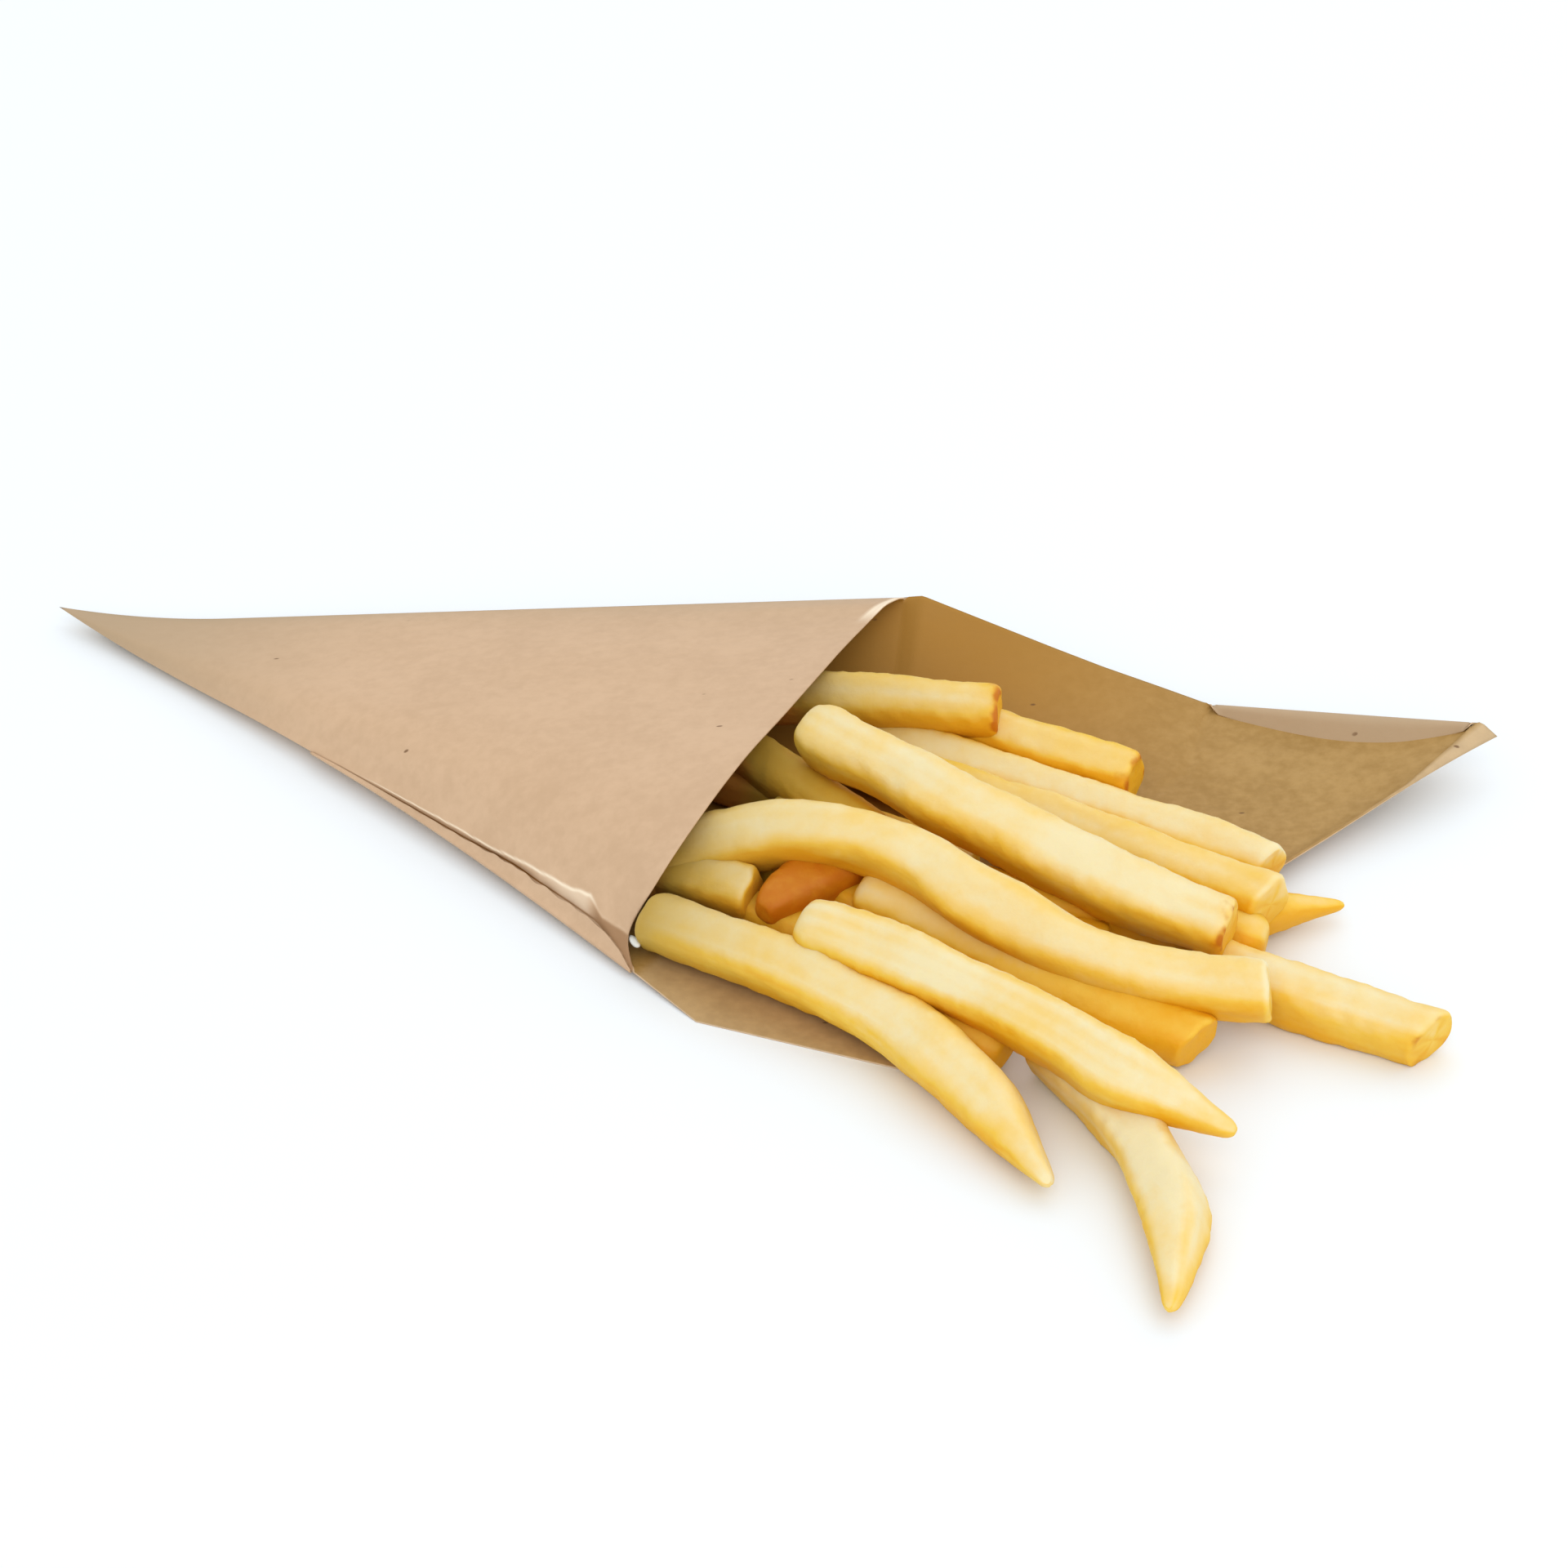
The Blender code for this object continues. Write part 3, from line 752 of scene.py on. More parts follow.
    def outer_painted_shade(self, across: Array, row: Array) -> Array:
        """Painted shade of the outer face: darker at the tip, by the far fold and on the roll."""
        tip = 0.8 * fade(row, 0.0, 0.5) + 0.45 * np.exp(-across / 0.09)
        roll = fade(across, 0.14, 0.2) * 0.7
        return held(np.where(row <= 1, tip, roll))

    def inner_oil_and_shade(self, across: Array, row: Array) -> Array:
        """Oily stain and painted shade of the inner face: strongest in the mouth and under the
        fries.
        """
        oil_and_shade = held(1.15 * fade(row + 0.25 * across, 1.0, 1.75))
        return oil_and_shade * fade(across, 0.45, 0.75)

    def seam_light_and_shade(self, across: Array, row: Array) -> Array:
        """Painted light and shade of the front panel's creases: highlight where positive, shade
        where negative.

        A painted highlight line on the crest, a paler painted band from there to the lap and a
        painted shadow line by the lap's free edge. By the mouth the band turns brown with painted
        shade, and the mouth's edge has a painted highlight on its lip at its far end.
        """
        crest, lap = np.interp(row, *self.crest), np.interp(row, *self.lap)
        begun = smooth_step(row, 0.5, 0.62)
        past = smooth_step(across, crest - 0.002, crest + 0.003)
        ending = smooth_step(row, 0.925, 0.955)
        wander = self.hairline_wander * Ripple(21, 0.03, 9).at(row[..., None])
        line = bell(across - crest - wander, self.hairline) * (1 - 0.8 * ending)
        band = past * (0.5 * smooth_step(row, 0.82, 0.92) - 0.05) * (1 - ending)
        dark = 1.2 * bell(across - lap + 0.0015, self.hairline) * (1 - ending)
        shade = 0.6 * past * ending * (across < lap)
        lip = smooth_step(row, 0.983, 0.989) * fade(across, 0.07, 0.13)
        return (line + band - dark) * begun - shade + lip

    def corner_painted_light(self, across: Array, row: Array) -> Array:
        """Painted light on the inner face: paler where the flap's corner bends down, and along its
        near side against the shade of the fries.
        """
        bent = smooth_step(row, self.roll_rows[1] - 0.008, self.roll_rows[1] + 0.004)
        near = smooth_step(across, 0.6, 0.85) * smooth_step(row, 1.0, 1.05)
        return 0.3 * bent * fade(across, 0.05, 0.3) + 0.16 * near

    def columns(self) -> Array:
        """Places across the sheet, close together in the rolled margin and the seam."""
        return np.concatenate([
            np.linspace(0, self.margin_share, 32, endpoint=False),
            np.linspace(self.margin_share, 0.93, 32, endpoint=False),
            np.linspace(0.93, 0.985, 46, endpoint=False),
            np.linspace(0.985, 1.0, 7)])[None, :]

    def inner_columns(self, across: Array, row: Array) -> Array:
        """Places of the inner face, held clear of the two folds inside the cone."""
        far, _ = self.far_line(row)
        near, _ = self.near_line(row)
        width = np.linalg.norm(far - near, axis=-1)
        left, right = (np.where(row <= 1.0, gap / width, 0.0) for gap in self.hollow_gaps)
        return left + (1 - left - right) * across

    def build(self, materials: Materials) -> bpy.types.Object:
        """Make the sheet as one closed mesh: outer skin, inner skin and rims."""
        across = self.columns()
        body = np.linspace(0, self.dense_from, self.cone_rows - self.mouth_rows + 1)[1:, None]
        mouth = np.linspace(self.dense_from, 1, self.mouth_rows + 1)[1:, None]
        cone = np.concatenate([body, mouth])
        flap = 1 + np.linspace(0, 1, self.flap_rows + 1)[1:, None]
        rows = np.concatenate([cone, flap])
        outer_back = self.back(across, rows)
        outer_front = self.front(across, cone)
        hollow = cone[:, 0] >= self.hollow_from
        deep = rows[np.concatenate([hollow, np.ones(self.flap_rows, bool)])]
        inner_back = self.skin(self.back(self.inner_columns(across, deep), deep), 1.0)
        shallow = cone[hollow]
        inner_front = self.skin(self.front(self.inner_columns(across, shallow), shallow), -1.0)
        count = len(inner_front)
        for column in (0, -1):
            shared = (inner_back[:count, column] + inner_front[:, column]) / 2
            inner_back[:count, column] = shared
            inner_front[:, column] = shared
        outer_front[:, (0, -1)] = outer_back[:self.cone_rows, (0, -1)]
        work = MeshPatchwork()
        tip = work.add_points(np.array([[0.0, 0.0, self.tip_lift]]))[0]
        first = np.concatenate([inner_back[0], inner_front[0]]).mean(axis=0)
        inner_tip = work.add_points((first * np.array(self.inner_tip))[None, :])[0]
        out_b, out_f = work.add_points(outer_back), work.add_points(outer_front)
        in_b, in_f = work.add_points(inner_back), work.add_points(inner_front)
        out_f[:, (0, -1)] = out_b[:self.cone_rows, (0, -1)]
        in_f[:, (0, -1)] = in_b[:count, (0, -1)]
        sides = ((out_b, tip, 0, True), (out_f, tip, 0, False),
                 (in_b, inner_tip, 1, False), (in_f, inner_tip, 1, True))
        for numbers, apex, slot, flip in sides:
            work.add_fan(apex, numbers[0], slot, not flip)
        for numbers, _, slot, flip in sides:
            work.add_faces(grid_quads(numbers), slot, flip)
        mouth_out, mouth_in = self.cone_rows - 1, count - 1
        work.add_strip(out_f[-1], in_f[-1], 2)
        work.add_strip(out_b[-1], in_b[-1], 2, True)
        work.add_strip(out_b[mouth_out:, 0], in_b[mouth_in:, 0], 2, True)
        work.add_strip(out_b[mouth_out:, -1], in_b[mouth_in:, -1], 2)
        # Fields for the paper's finish: oil stain with painted shade, and painted highlights and
        # shade along the seam and flap.
        stain = [np.ones(2), self.outer_painted_shade(across, rows), self.outer_painted_shade(across, cone),
                 self.inner_oil_and_shade(across, deep), np.ones_like(inner_front[..., 0])]
        crease = [np.zeros(2), np.zeros_like(outer_back[..., 0]), self.seam_light_and_shade(across, cone),
                  self.corner_painted_light(across, deep), np.zeros_like(inner_front[..., 0])]
        fields = {"stain": np.concatenate([part.ravel() for part in stain]),
                  "crease": np.concatenate([part.ravel() for part in crease])}
        return work.make("paper_sheet", materials, fields)

    def skin(self, face: Array, way: float) -> Array:
        """A face moved into the sheet by its thickness; way is 1 for the back panel."""
        normal = grid_normals(face)
        middle = normal[:, normal.shape[1] // 2, 2]
        normal = normal * np.where(middle < 0, -1.0, 1.0)[:, None, None]
        return face + way * self.thickness * normal


@dataclass
class SeamLap:
    """The back panel's margin, turned up round the near fold and stuck to the front."""

    cone: PaperCone
    thickness: float = 0.2
    gap: float = 0.12
    lifted: float = 0.4
    tucked: float = 0.05
    ragged: float = 0.05
    fold_width: float = 0.12
    clear: float = 0.03
    lean_column: int = 22
    rows: int = 150
    columns: int = 22

    def face(self, level: float) -> Array:
        """A face of the lap at a level above the panel.

        Places run from under the near fold (negative) through the fold (0) to the free
        edge (1), which is slightly ragged and stands off the panel a little.
        """
        row = np.linspace(self.cone.lap[0][0] + 0.01, 0.998, self.rows)[:, None]
        place = np.linspace(-0.35, 1.0, self.columns)[None, :]
        ragged = Ripple(11, 0.035, 9).at(row[..., None]) * self.ragged * smooth_step(row, 0.5, 0.7)
        edge = np.interp(row, *self.cone.lap)
        up = held(place) * (1 + ragged * held(place))
        over = self.cone.arch(1 - up * (1 - edge), row)
        near_side = self.cone.arch(np.linspace(0.9, 1.0, 30)[None, :], row)
        lean = upward_normals(near_side)[:, self.lean_column, None, :]
        lifted = self.lifted * held(place) ** 3 * smooth_step(row, 0.5, 0.75)
        lifted = lifted * fade(row, 0.95, 0.99)
        over = over + (level + lifted)[..., None] * lean
        under = self.cone.back(1 + np.clip(place, -1, 0) * self.tucked, row)
        under = under - np.array([0.0, 0.0, 1.0]) * level
        side = np.append(-square_to(self.cone.near_corner), 0.0)
        bulge = bell(place, self.fold_width)[..., None] * side
        face = np.where((place < 0)[..., None], under, over) + level * bulge
        face[..., 2] = np.maximum(face[..., 2], self.clear)
        return face

    def build(self, materials: Materials) -> bpy.types.Object:
        """Make the lap as a thin closed sheet."""
        outer = self.face(self.gap + self.thickness)
        inner = self.face(self.gap)
        work = MeshPatchwork()
        out, inn = work.add_points(outer), work.add_points(inner)
        work.add_faces(grid_quads(out), 0, True)
        work.add_faces(grid_quads(inn), 1)
        work.add_strip(out[0], inn[0], 2)
        work.add_strip(out[-1], inn[-1], 2, True)
        work.add_strip(out[:, 0], inn[:, 0], 2, True)
        work.add_strip(out[:, -1], inn[:, -1], 2)
        none = np.zeros(work.count)
        return work.make("seam_lap", materials, {"stain": none, "crease": none})


@dataclass
class GlueBead:
    """A bead of white paste squeezed out where the front panel meets the near fold."""

    centre: tuple = (103.2, -97.1, 3.9)
    halves: tuple = (1.6, 0.65, 0.6)
    heading: float = -62.0
    fuller: float = 0.18
    around: int = 28
    rings: int = 18

    def build(self, material: bpy.types.Material) -> bpy.types.Object:
        """Make the bead: a sphere squashed on three axes, fuller at one end."""
        turn = 2 * np.pi * np.arange(self.around) / self.around
        rise = np.linspace(0, np.pi, self.rings + 2)[1:-1, None]
        out = (1 + self.fuller * np.cos(rise)) * np.sin(rise)
        local = np.broadcast_arrays(np.cos(rise), out * np.cos(turn), out * np.sin(turn))
        local = np.stack(local, axis=-1)
        poles = np.array([[1.0, 0.0, 0.0], [-1.0, 0.0, 0.0]])
        way = math.radians(self.heading)
        axes = np.array([[math.cos(way), math.sin(way), 0.0],
                         [-math.sin(way), math.cos(way), 0.0], [0.0, 0.0, 1.0]])
        work = MeshPatchwork()
        numbers = work.add_points(local * self.halves @ axes + self.centre)
        ends = work.add_points(poles * self.halves @ axes + self.centre)
        work.add_tube(numbers, ends, True)
        return work.make("glue_bead", [material])


# ---- fries

@dataclass(frozen=True)
class Bullet:
    """A pointed end: the length it narrows over, its loss of width, and its blunt tip."""

    reach: float = 21.0
    loss: float = 0.74
    power: float = 1.7
    tip: float = 1.5
    tip_share: float = 0.3

    def sizes(self, away: Array) -> Array:
        """Share of the full width at distances from the end."""
        narrowed = 1 - self.loss * held(1 - away / self.reach) ** self.power
        blunt = quarter_circle(away / self.tip)
        return narrowed * (self.tip_share + (1 - self.tip_share) * blunt)


@dataclass(frozen=True)
class Rounding:
    """A blunt end that rounds off over a quarter circle, down to a flat share."""

    reach: float
    flat: float

    def sizes(self, away: Array) -> Array:
        """Share of the full width at distances from the end."""
        return self.flat + (1 - self.flat) * quarter_circle(away / self.reach)


class End(Enum):
    """How a fry ends: cut square, rounded off, or drawn out to a point."""

    CUT = Rounding(1.2, 0.80)
    ROUND = Rounding(3.6, 0.42)
    POINT = Bullet()


END_STATIONS = np.array([0.0, 0.04, 0.12, 0.25, 0.42, 0.65, 0.95, 1.4, 2.0, 2.8, 3.7])
CAP_SHARES = np.array([0.02, 0.25, 0.5, 0.75, 0.9])


@dataclass(frozen=True)
class Toast:
    """How much each cause turns a fry's skin golden, brown or dusky; side, low and gap are painted
    shade, golden where faces turn down from the light, low in each section and where fries crowd.

    End and cut hold a share of the fry's crust and an offset. Dusk is the shade of
    the cone: full at the mouth, fading over dusk_reach and with height.
    """

    plain: float = 0.13
    side: float = 0.35
    low: float = 0.46
    gap: float = 0.8
    corner: float = 0.2
    end: tuple = (0.6, -0.22)
    end_reach: float = 3.0
    cut: tuple = (0.5, -0.3)
    cut_reach: tuple = (0.2, 1.2)
    rim: float = 1.05
    rim_size: float = 0.9
    rim_spread: float = 0.06
    rim_reach: float = 2.2
    corner_burn: float = 0.06
    dusk: float = 0.95
    dusk_reach: float = 12.5
    deep_reach: float = 6.0
    bright_height: tuple = (1.75, 16.0, 0.3)


@dataclass
class Fry:
    """One fry: a bar of rounded square section along a gently bent line.

    It runs from its butt along a heading in degrees to a head at its own height. Sway
    is its bow to the left and lift its bow upwards, each as a plain arch and an S. The
    hook carries the head's last stretch to the left. Girth holds shares of the width
    at even places, and slant skews the two cut ends across the fry. Crust browns the
    ends, and ripe turns the fry golden towards its head.
    """

    name: str
    butt: tuple
    heading: float
    length: float
    head_height: float
    sway: tuple
    lift: tuple
    width: float
    roll: float
    ends: tuple
    tone: float = 0.0
    burn: float = 0.0
    girth: tuple = (1.0, 1.0)
    hook: float = 0.0
    slant: tuple = (0.12, -0.1)
    crust: float = 0.25
    ripe: float = 0.0
    hook_length: float = 20.0
    section: float = 1.94
    power: float = 2.9
    sunk: float = 0.02
    lean_reach: float = 3.0
    clear: float = 0.05
    crowd_distance: float = 4.6
    crowd_reach: float = 3.6
    crowd_full: float = 2.6
    around: int = 48
    steps: int = 84

    def ripple(self, wave: Wave, points: Array) -> Array:
        """One of the fry's ripples; its seed comes from the fry's name."""
        step, length, waves, height = wave.value
        seed = sum(ord(letter) * (place + 3) for place, letter in enumerate(self.name))
        return height * Ripple(seed + step, length, waves).at(points)

    def line(self, at: Array) -> Array:
        """Middle line at shares of the length, with small waves of its own."""
        heading = math.radians(self.heading)
        forward = np.array([math.cos(heading), math.sin(heading)])
        arch, ess = np.sin(np.pi * at), np.sin(2 * np.pi * at)
        wander = self.ripple(Wave.WANDER, (at * self.length)[:, None])
        hook = self.hook * held(1 - (1 - at) * self.length / self.hook_length) ** 2
        aside = self.sway[0] * arch + self.sway[1] * ess + wander * arch + hook
        plan = np.array(self.butt[:2]) + (self.length * at)[:, None] * forward
        height = self.butt[2] + (self.head_height - self.butt[2]) * at
        height = height + self.lift[0] * arch + self.lift[1] * ess
        return raised(plan + aside[:, None] * square_to(forward), height)

    def stations(self) -> tuple:
        """Shares of the length and sizes of the rings, closing in on both ends."""
        last = END_STATIONS[-1] + 1
        inner = np.linspace(last, self.length - last, self.steps - 2 * len(END_STATIONS))
        away = np.concatenate([END_STATIONS, inner, self.length - END_STATIONS[::-1]])
        butt, head = (end.value for end in self.ends)
        size = butt.sizes(away) * head.sizes(self.length - away)
        cap = np.zeros(len(CAP_SHARES))
        away = np.concatenate([cap, away, cap + self.length])
        size = np.concatenate([CAP_SHARES * size[0], size, CAP_SHARES[::-1] * size[-1]])
        return away / self.length, size

    def surface(self) -> tuple:
        """The fry's skin as rings of points, with what its finish needs to know.

        Each ring is a superellipse |x|^p + |y|^p = 1 in the plane across the line. Its
        power, width, height and twist vary slowly along the fry, the faces sink a
        little, and fine ripples roughen the corners. Near a cut end the rings lean by
        the slant and a small ripple, so that the cut is not quite square.

        Returns:
            The rings, the closeness to a corner, and the distance from the nearer end.
        """
        at, size = self.stations()
        slow = (at * self.length)[:, None]
        step = 0.004
        tangent = unit(self.line(at + step) - self.line(at - step))
        side = unit(np.cross(np.array([0.0, 0.0, 1.0]), tangent))
        up = np.cross(tangent, side)
        roll = (math.radians(self.roll) + self.ripple(Wave.TWIST, slow))[:, None]
        side, up = (np.cos(roll) * side + np.sin(roll) * up,
                    np.cos(roll) * up - np.sin(roll) * side)
        turn = 2 * np.pi * np.arange(self.around) / self.around
        power = (self.power + self.ripple(Wave.POWER, slow))[:, None]
        ring = (np.abs(np.cos(turn)) ** power + np.abs(np.sin(turn)) ** power) ** (-1 / power)
        corner = np.abs(np.sin(2 * turn))[None, :] ** 3
        spots = np.broadcast_arrays(slow, 6 * np.cos(turn), 6 * np.sin(turn))
        spots = np.stack(spots, axis=-1)
        rough = self.ripple(Wave.COARSE, spots) + self.ripple(Wave.FINE, spots) * (0.4 + corner)
        ring = ring * (1 - self.sunk * (1 - corner) + rough)
        girth = smooth_through(np.linspace(0, 1, len(self.girth)), self.girth, at)
        wide, tall = (self.width / self.section * (1 + self.ripple(wave, slow)) * size * girth
                      for wave in (Wave.WIDTH, Wave.HEIGHT))
        across, over = ring * np.cos(turn) * wide[:, None], ring * np.sin(turn) * tall[:, None]
        rings = self.line(at)[:, None, :] + across[..., None] * side[:, None, :]
        rings = rings + over[..., None] * up[:, None, :]
        lean = np.zeros_like(ring)
        for kind, away, slope in zip(self.ends, (slow, self.length - slow), self.slant):
            if kind is End.CUT:
                ragged = self.ripple(Wave.CUT, np.stack([across, over], axis=-1))
                skew = slope * across + ragged * np.abs(across + over) / self.width
                lean = lean + np.exp(-away / self.lean_reach) * skew
        rings = rings + lean[..., None] * tangent[:, None, :]
        rings[..., 2] = np.maximum(rings[..., 2], self.clear)
        return rings, corner, np.minimum(slow, self.length - slow)

    def build(self, neighbours: Array, material: bpy.types.Material) -> bpy.types.Object:
        """Make the fry's mesh and the fields that lead its finish.

        Args:
            neighbours: points along the middle lines of the other fries.
            material: the fried potato finish.

        Returns:
            The new object.
        """
        rings, corner, ends = self.surface()
        at, size = self.stations()
        middle = rings.mean(axis=1, keepdims=True)
        normal = unit(np.cross(np.roll(rings, -1, axis=1) - np.roll(rings, 1, axis=1),
                               np.gradient(rings, axis=0)))
        normal = normal * np.sign((normal * (rings - middle)).sum(axis=-1).mean())
        toast = Toast()
        # Painted shade as gold: faces turned down from the light, the lower part of each section
        # and places crowded by other fries turn golden.
        side = fade(normal[..., 2], -0.3, 1.0)
        low = smooth_step((middle - rings)[..., 2] / self.width, -0.5, 0.4)
        gold = toast.plain + self.tone + self.ripe * at[:, None] + toast.side * side
        gold = gold + toast.low * low + toast.gap * self.crevice(rings, normal, neighbours)
        gold = gold + toast.corner * corner ** 3 + self.ripple(Wave.PATCH, rings)
        gold = gold + self.ripple(Wave.STREAK, (rings - middle) * np.array([1.0, 1.0, 1.6]))
        share, offset = toast.end
        gold = gold + (share * self.crust + offset) * np.exp(-ends / toast.end_reach)
        share, offset = toast.cut
        gold = gold + (share * self.crust + offset) * fade(ends, *toast.cut_reach)
        rim = (size / size.max())[:, None] - toast.rim_size
        rim = np.exp(-rim ** 2 / toast.rim_spread) * np.exp(-ends / toast.rim_reach)
        rim = toast.rim * self.crust * rim * (1 + self.ripple(Wave.RIM, rings))
        burn = self.burn + rim * (0.6 + 0.4 * corner) + toast.corner_burn * corner
        past = self.past_mouth(rings)
        dusk = toast.dusk * np.exp(-np.clip(past, 0, None) / toast.dusk_reach)
        dusk = dusk + (1 - toast.dusk) * held(-past / toast.deep_reach)
        full, fall, least = toast.bright_height
        dusk = dusk * np.clip(full - rings[..., 2] / fall, least, 1.0)
        work = MeshPatchwork()
        numbers = work.add_points(rings)
        work.add_tube(numbers, work.add_points(rings[[0, -1]].mean(axis=1)))
        fields = {name: np.concatenate([values.ravel(), values[[0, -1]].mean(axis=1)])
                  for name, values in (("gold", gold), ("burn", burn), ("dusk", dusk))}
        return work.make("fry_" + self.name, [material], fields)

    def past_mouth(self, rings: Array) -> Array:
        """Plan distance of points beyond the straight line between the mouth's corners."""
        far, near = np.array(PaperCone.far_corner), np.array(PaperCone.near_corner)
        return (rings[..., :2] - near) @ square_to(near - far)

    def crevice(self, rings: Array, normal: Array, neighbours: Array) -> Array:
        """How closely other fries crowd each point of the skin, from 0 to 1.

        Sum over the neighbours' points of a bell of the distance to their skin, each
        weighed by how squarely the skin faces them.
        """
        away = neighbours - rings[..., None, :]
        distance = np.linalg.norm(away, axis=-1)
        facing = (away * normal[..., None, :]).sum(axis=-1) / distance
        near = bell(np.maximum(distance - self.crowd_distance, 0), self.crowd_reach)
        return held((near * held(facing)).sum(axis=-1) / self.crowd_full)


CUT, ROUND, POINT = End.CUT, End.ROUND, End.POINT


@dataclass
class Heap:
    """The fries that spill from the mouth, and the ones that bear them."""

    # Some tones stand partly for shade: under_bent's ripe head, gap_low and near_low are
    # golden-brown partly as painted shade where they lie under other fries, and front_curved is
    # paler at its butt, painted light where crossing shades it.
    shown: tuple = (
        Fry("top", (130, -60, 18.6), -35, 79, 12.0, (-2.9, 0.3), (1.2, 0.3), 8.9, 26, (ROUND, CUT),
            -0.10, girth=(1.03, 1.08, 1.16, 1.12, 1.02), crust=0.8),
        Fry("second", (136.2, -48, 5.5), -35.5, 81, 9.5, (0.6, 0), (0, 0), 8.4, 22, (CUT, CUT),
            0.2, slant=(0.12, 0.2), crust=0.12),
        Fry("third", (141, -43.5, 5.6), -32, 73.8, 7.4, (0.8, 0), (-0.4, 0), 8.0, 26, (CUT, CUT),
            0.03, slant=(0.12, 0.2), crust=0.12),
        Fry("far_short", (96, -35, 6.5), -10, 67, 12.5, (1.0, 0), (1.5, 0), 8.4, 30, (CUT, CUT),
            0.06, crust=1.1),
        Fry("far_low", (144, -37.0, 8.2), -29.5, 45.5, 8.2, (0.3, 0), (0, 0), 8.0, 20, (CUT, CUT),
            0.17, crust=0.8),
        Fry("shaded", (106, -40.5, 11.5), -45, 50, 7.6, (0.6, 0), (0, 0), 7.8, 20, (CUT, CUT),
            0.5),
        Fry("long_bent", (104, -81, 6.2), -22, 103, 11.5, (3.2, 5.0), (6.0, 3.2), 8.6, 30,
            (CUT, CUT), -0.03, crust=0.1,
            girth=(1.2, 1.2, 1.1, 1.06, 1.1, 1.18, 1.16, 1.08, 1.02, 1.0)),
        Fry("near_pale", (82, -65.6, 7.0), -32, 47, 7.6, (-1.0, 0), (0, 0), 8.4, 25, (CUT, CUT),
            0.15),
        Fry("browned", (123.2, -95.6, 8.2), 45, 19, 8.4, (0, 0), (0, 0), 6.4, 10, (ROUND, CUT),
            0.9, 0.95, girth=(0.85, 1.4, 1.9)),
        Fry("near_long", (105.8, -94.4, 6.1), -46, 84.6, 3.6, (8.4, -0.8), (1.5, 0), 9.0, 32,
            (CUT, POINT), -0.02, girth=(1.0, 1.0, 1.0, 1.04, 1.1, 1.04, 0.8), hook=0.5, crust=0.1),
        Fry("crossing", (129.3, -103.0, 11.0), -36.5, 77.5, 8.0, (0.6, 1.2), (2.4, -0.5), 8.8, 30,
            (ROUND, POINT), -0.05, girth=(1.12, 1.12, 1.05, 1.05, 1.14, 0.95), hook=0.8,
            crust=0.6),
        Fry("under_bent", (138.5, -90.3, 8.0), -33.5, 60.5, 4.9, (-1.0, 1.0), (0.3, 0), 9.2, 30,
            (ROUND, CUT), 0.05, ripe=0.75, slant=(0.12, 0.45), girth=(1.0, 1.0, 1.0, 0.92)),
        Fry("front_curved", (165.6, -124.5, 4.3), -73.5, 59, 3.6, (6.6, 0.2), (0.2, 0), 8.8, 25,
            (CUT, POINT), -0.3, girth=(0.85, 0.95, 1.0, 1.0, 1.05, 1.0, 0.85), hook=-2.2,
            ripe=0.4),
        Fry("right_low", (190, -103.5, 5.2), -28.5, 39, 4.2, (-0.4, 0), (-0.3, 0), 8.8, 20,
            (CUT, CUT), -0.02, slant=(0.0, 0.5), crust=0.5),
        Fry("right_tip", (190, -95.0, 5.8), 20, 26.5, 2.6, (0, 0), (0.3, 0), 7.4, 20, (CUT, POINT),
            0.35, 0.1, girth=(1.0, 0.95, 0.7)),
        Fry("gap_low", (146, -83.6, 7.4), -15.8, 57.5, 5.4, (-1.6, -0.8), (0.3, 0), 7.8, 15,
            (CUT, ROUND), 0.45, 0.15),
        Fry("near_low", (131, -106, 5.2), -34.5, 35, 4.8, (0, 0), (0.2, 0), 7.8, 20, (CUT, ROUND),
            0.6, 0.1),
    )
    # The bearing fries' golden tones are partly painted shade of the heap's inside.
    bearing: tuple = (
        Fry("bed_far", (84, -36, 4.6), -30, 84, 4.4, (0.5, 0), (0, 0), 6.4, 3, (CUT, CUT), 0.5),
        Fry("bed_top", (126, -64, 5.6), -36, 62, 4.6, (-1.2, 0), (0.6, 0), 7.0, 8, (CUT, CUT),
            0.6),
        Fry("bed_middle", (104, -66, 4.9), -35, 78, 4.7, (0.6, 0), (0.4, 0), 7.2, -4, (CUT, CUT),
            0.6),
        Fry("bed_near", (112, -84, 4.4), -38, 60, 4.3, (1.0, 0), (0, 0), 6.6, 5, (CUT, CUT), 0.6),
    )

    def build(self, material: bpy.types.Material) -> list:
        """Make every fry; each knows the middle lines of the others."""
        fries = self.shown + self.bearing
        lines = [fry.line(np.linspace(0.02, 0.98, 16)) for fry in fries]
        made = []
        for place, fry in enumerate(fries):
            others = np.concatenate(lines[:place] + lines[place + 1:])
            made.append(fry.build(others, material))
        return made


# ---- studio

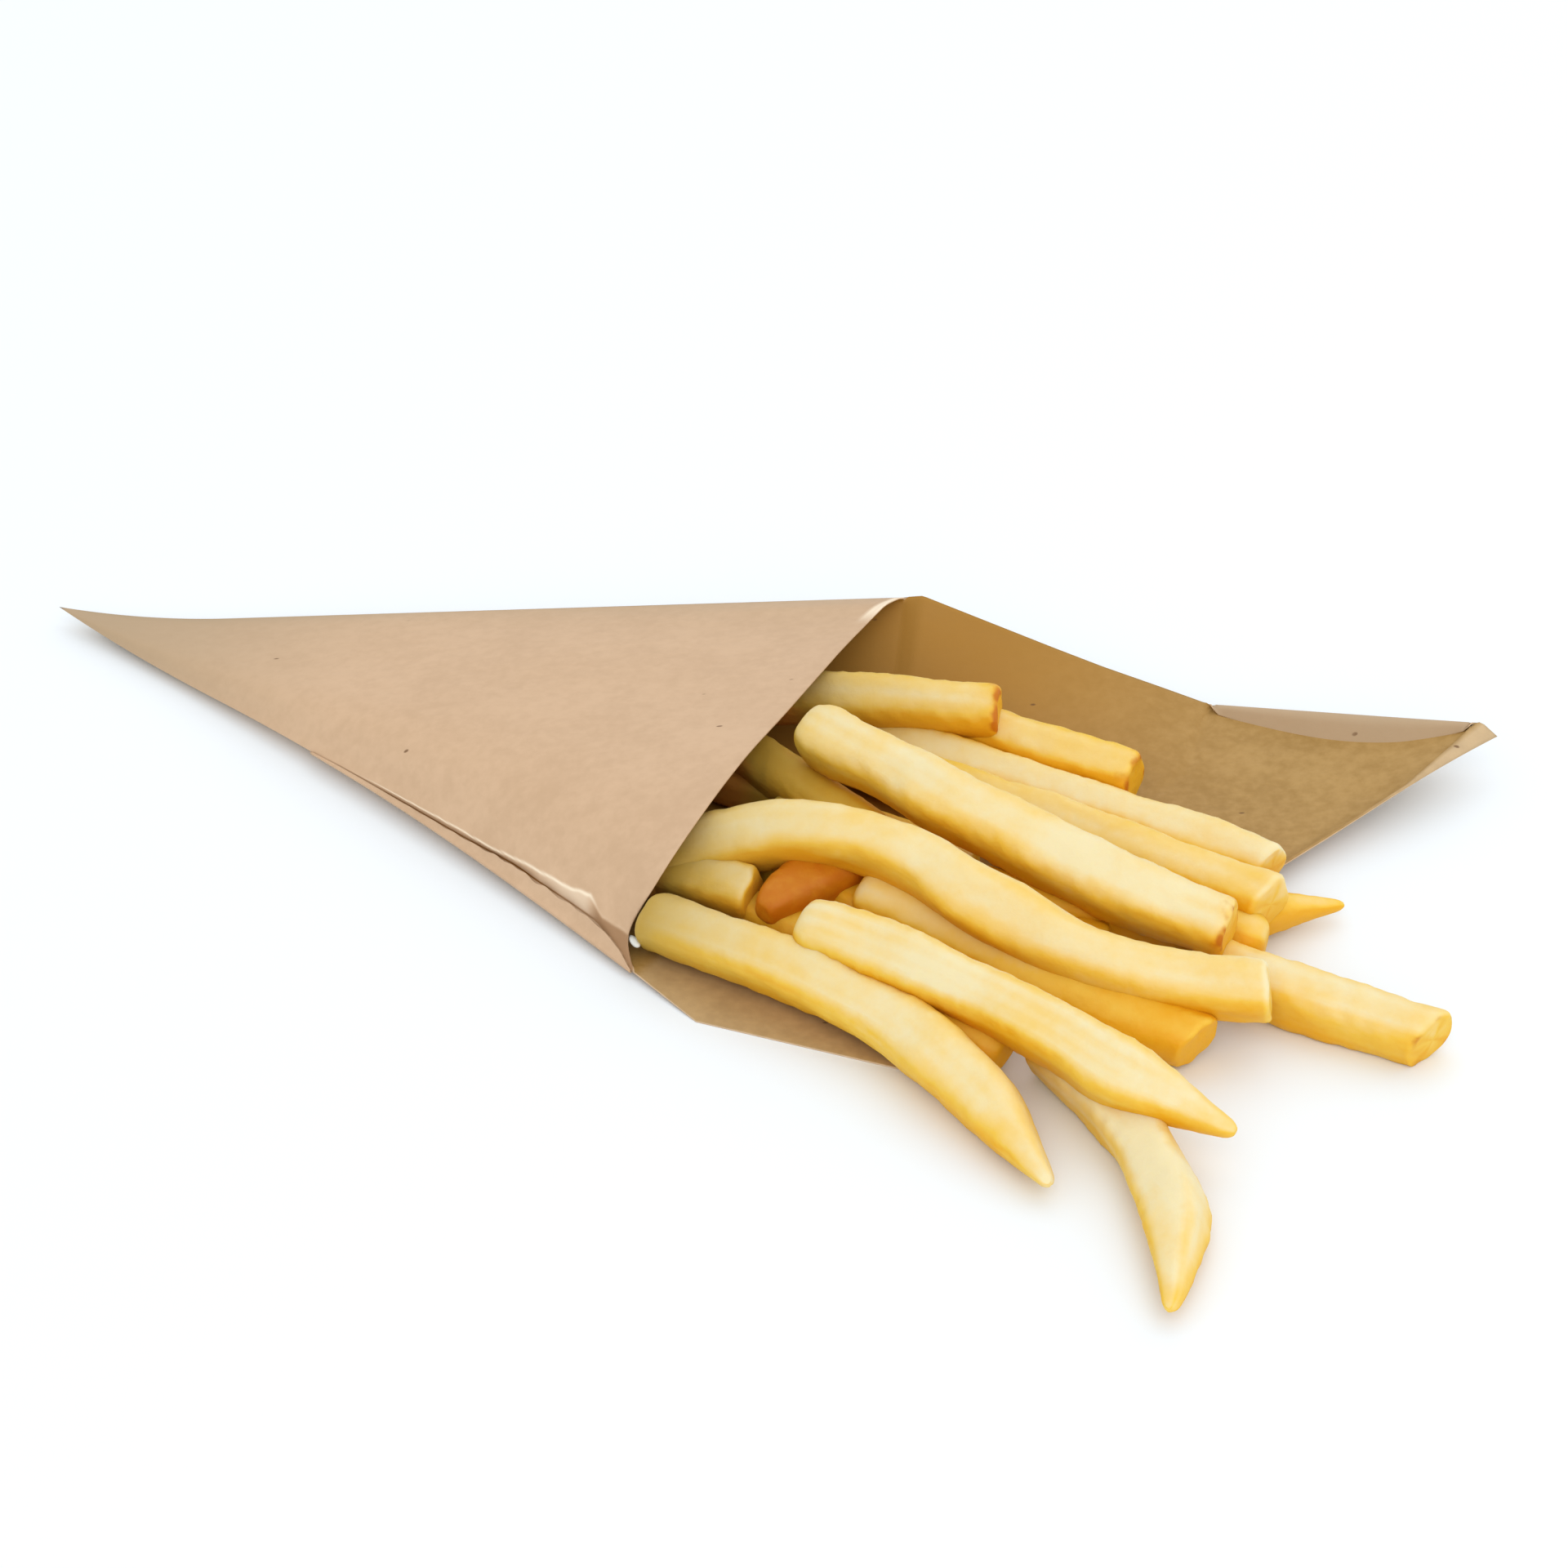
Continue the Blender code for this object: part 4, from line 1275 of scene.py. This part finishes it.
@dataclass
class Studio:
    """A plain pale table, a soft light behind and one in front, and a long lens."""

    elevation: float = 35.0
    distance: float = 700.0
    aim: tuple = (126.5, -48.9, 0.0)
    lens: float = 97.125
    sensor: float = 36.0
    table: float = 6.0
    table_tones: tuple = ((0.885, 0.92, 0.95, 1.0), (0.87, 0.905, 0.935, 1.0))
    sky: tuple = (0.95, 0.98, 1.0, 1.0)
    sky_strength: float = 0.88
    warm: tuple = (1.0, 0.98, 0.95)

    def build(self) -> None:
        """Make the table, the lights and the camera."""
        finish = PlainFinish("pale_table", *self.table_tones, roughness=0.6, scale=3.0)
        work = MeshPatchwork()
        half = self.table / 2 / MM
        corners = np.array([[[-half, -half, 0.0], [half, -half, 0.0]],
                            [[-half, half, 0.0], [half, half, 0.0]]])
        work.add_faces(grid_quads(work.add_points(corners)))
        table = work.make("table", [finish.make()])
        self.light("key", place=(0.45, 0.75, 1.10), size=1.7, power=4.6)
        self.light("front", place=(0.25, -1.30, 1.10), size=1.6, power=10.5)
        world = bpy.data.worlds.new("studio")
        world.use_nodes = True
        sky = world.node_tree.nodes["Background"].inputs
        sky["Color"].default_value = self.sky
        sky["Strength"].default_value = self.sky_strength
        bpy.context.scene.world = world
        bpy.context.scene.view_settings.view_transform = "Standard"
        self.camera()

    def light(self, name: str, place: tuple, size: float, power: float) -> None:
        """One square soft box aimed at the middle of the object."""
        lamp = bpy.data.lights.new(name, "AREA")
        lamp.shape, lamp.size, lamp.energy, lamp.color = "SQUARE", size, power, self.warm
        box = new_object(name, lamp)
        box.location = place
        towards = -np.array(place)
        flat = math.hypot(towards[0], towards[1])
        box.rotation_euler = (math.atan2(flat, -towards[2]), 0.0,
                              math.atan2(towards[1], towards[0]) - math.pi / 2)

    def camera(self) -> None:
        """The view from the front, well above the table."""
        down = math.radians(self.elevation)
        offset = np.array([0.0, -math.cos(down), math.sin(down)]) * self.distance
        lens = bpy.data.cameras.new("view")
        lens.lens, lens.sensor_width = self.lens, self.sensor
        camera = new_object("view", lens)
        camera.location = (np.array(self.aim) + offset) * MM + TIP
        camera.rotation_euler = (math.pi / 2 - down, 0.0, 0.0)
        bpy.context.scene.camera = camera


def main() -> None:
    """Build the paper, the fries and the studio, and note the sizes."""
    logging.basicConfig(level=logging.INFO, format="%(name)s %(message)s")
    # The third colour of each paper is where its stain field leads: painted shade on the outer
    # paper's tip, far fold and roll, and oil stain with painted shade inside.
    outer = KraftFinish("kraft_outer", colour(210, 176, 142), colour(200, 166, 132),
                        colour(172, 148, 116))
    inner = KraftFinish("kraft_inner", colour(180, 143, 84), colour(158, 121, 60),
                        colour(168, 120, 42), shive_share=0.42)
    edge = KraftFinish("kraft_edge", colour(214, 184, 150), colour(200, 168, 132),
                       colour(210, 176, 140), shive_share=0.9)
    potato = PotatoFinish()
    papers = [outer.make(), inner.make(), edge.make()]
    cone = PaperCone()
    paste = PlainFinish("paste", colour(232, 232, 226), colour(214, 212, 202), 0.3, 500.0)
    for piece in (cone.build(papers), SeamLap(cone).build(papers), GlueBead().build(paste.make())):
        show(piece, Node.PAPER)
    for piece in Heap().build(potato.make()):
        show(piece, Node.HEAP)
    Studio().build()
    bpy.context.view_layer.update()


if __name__ == "__main__":
    main()
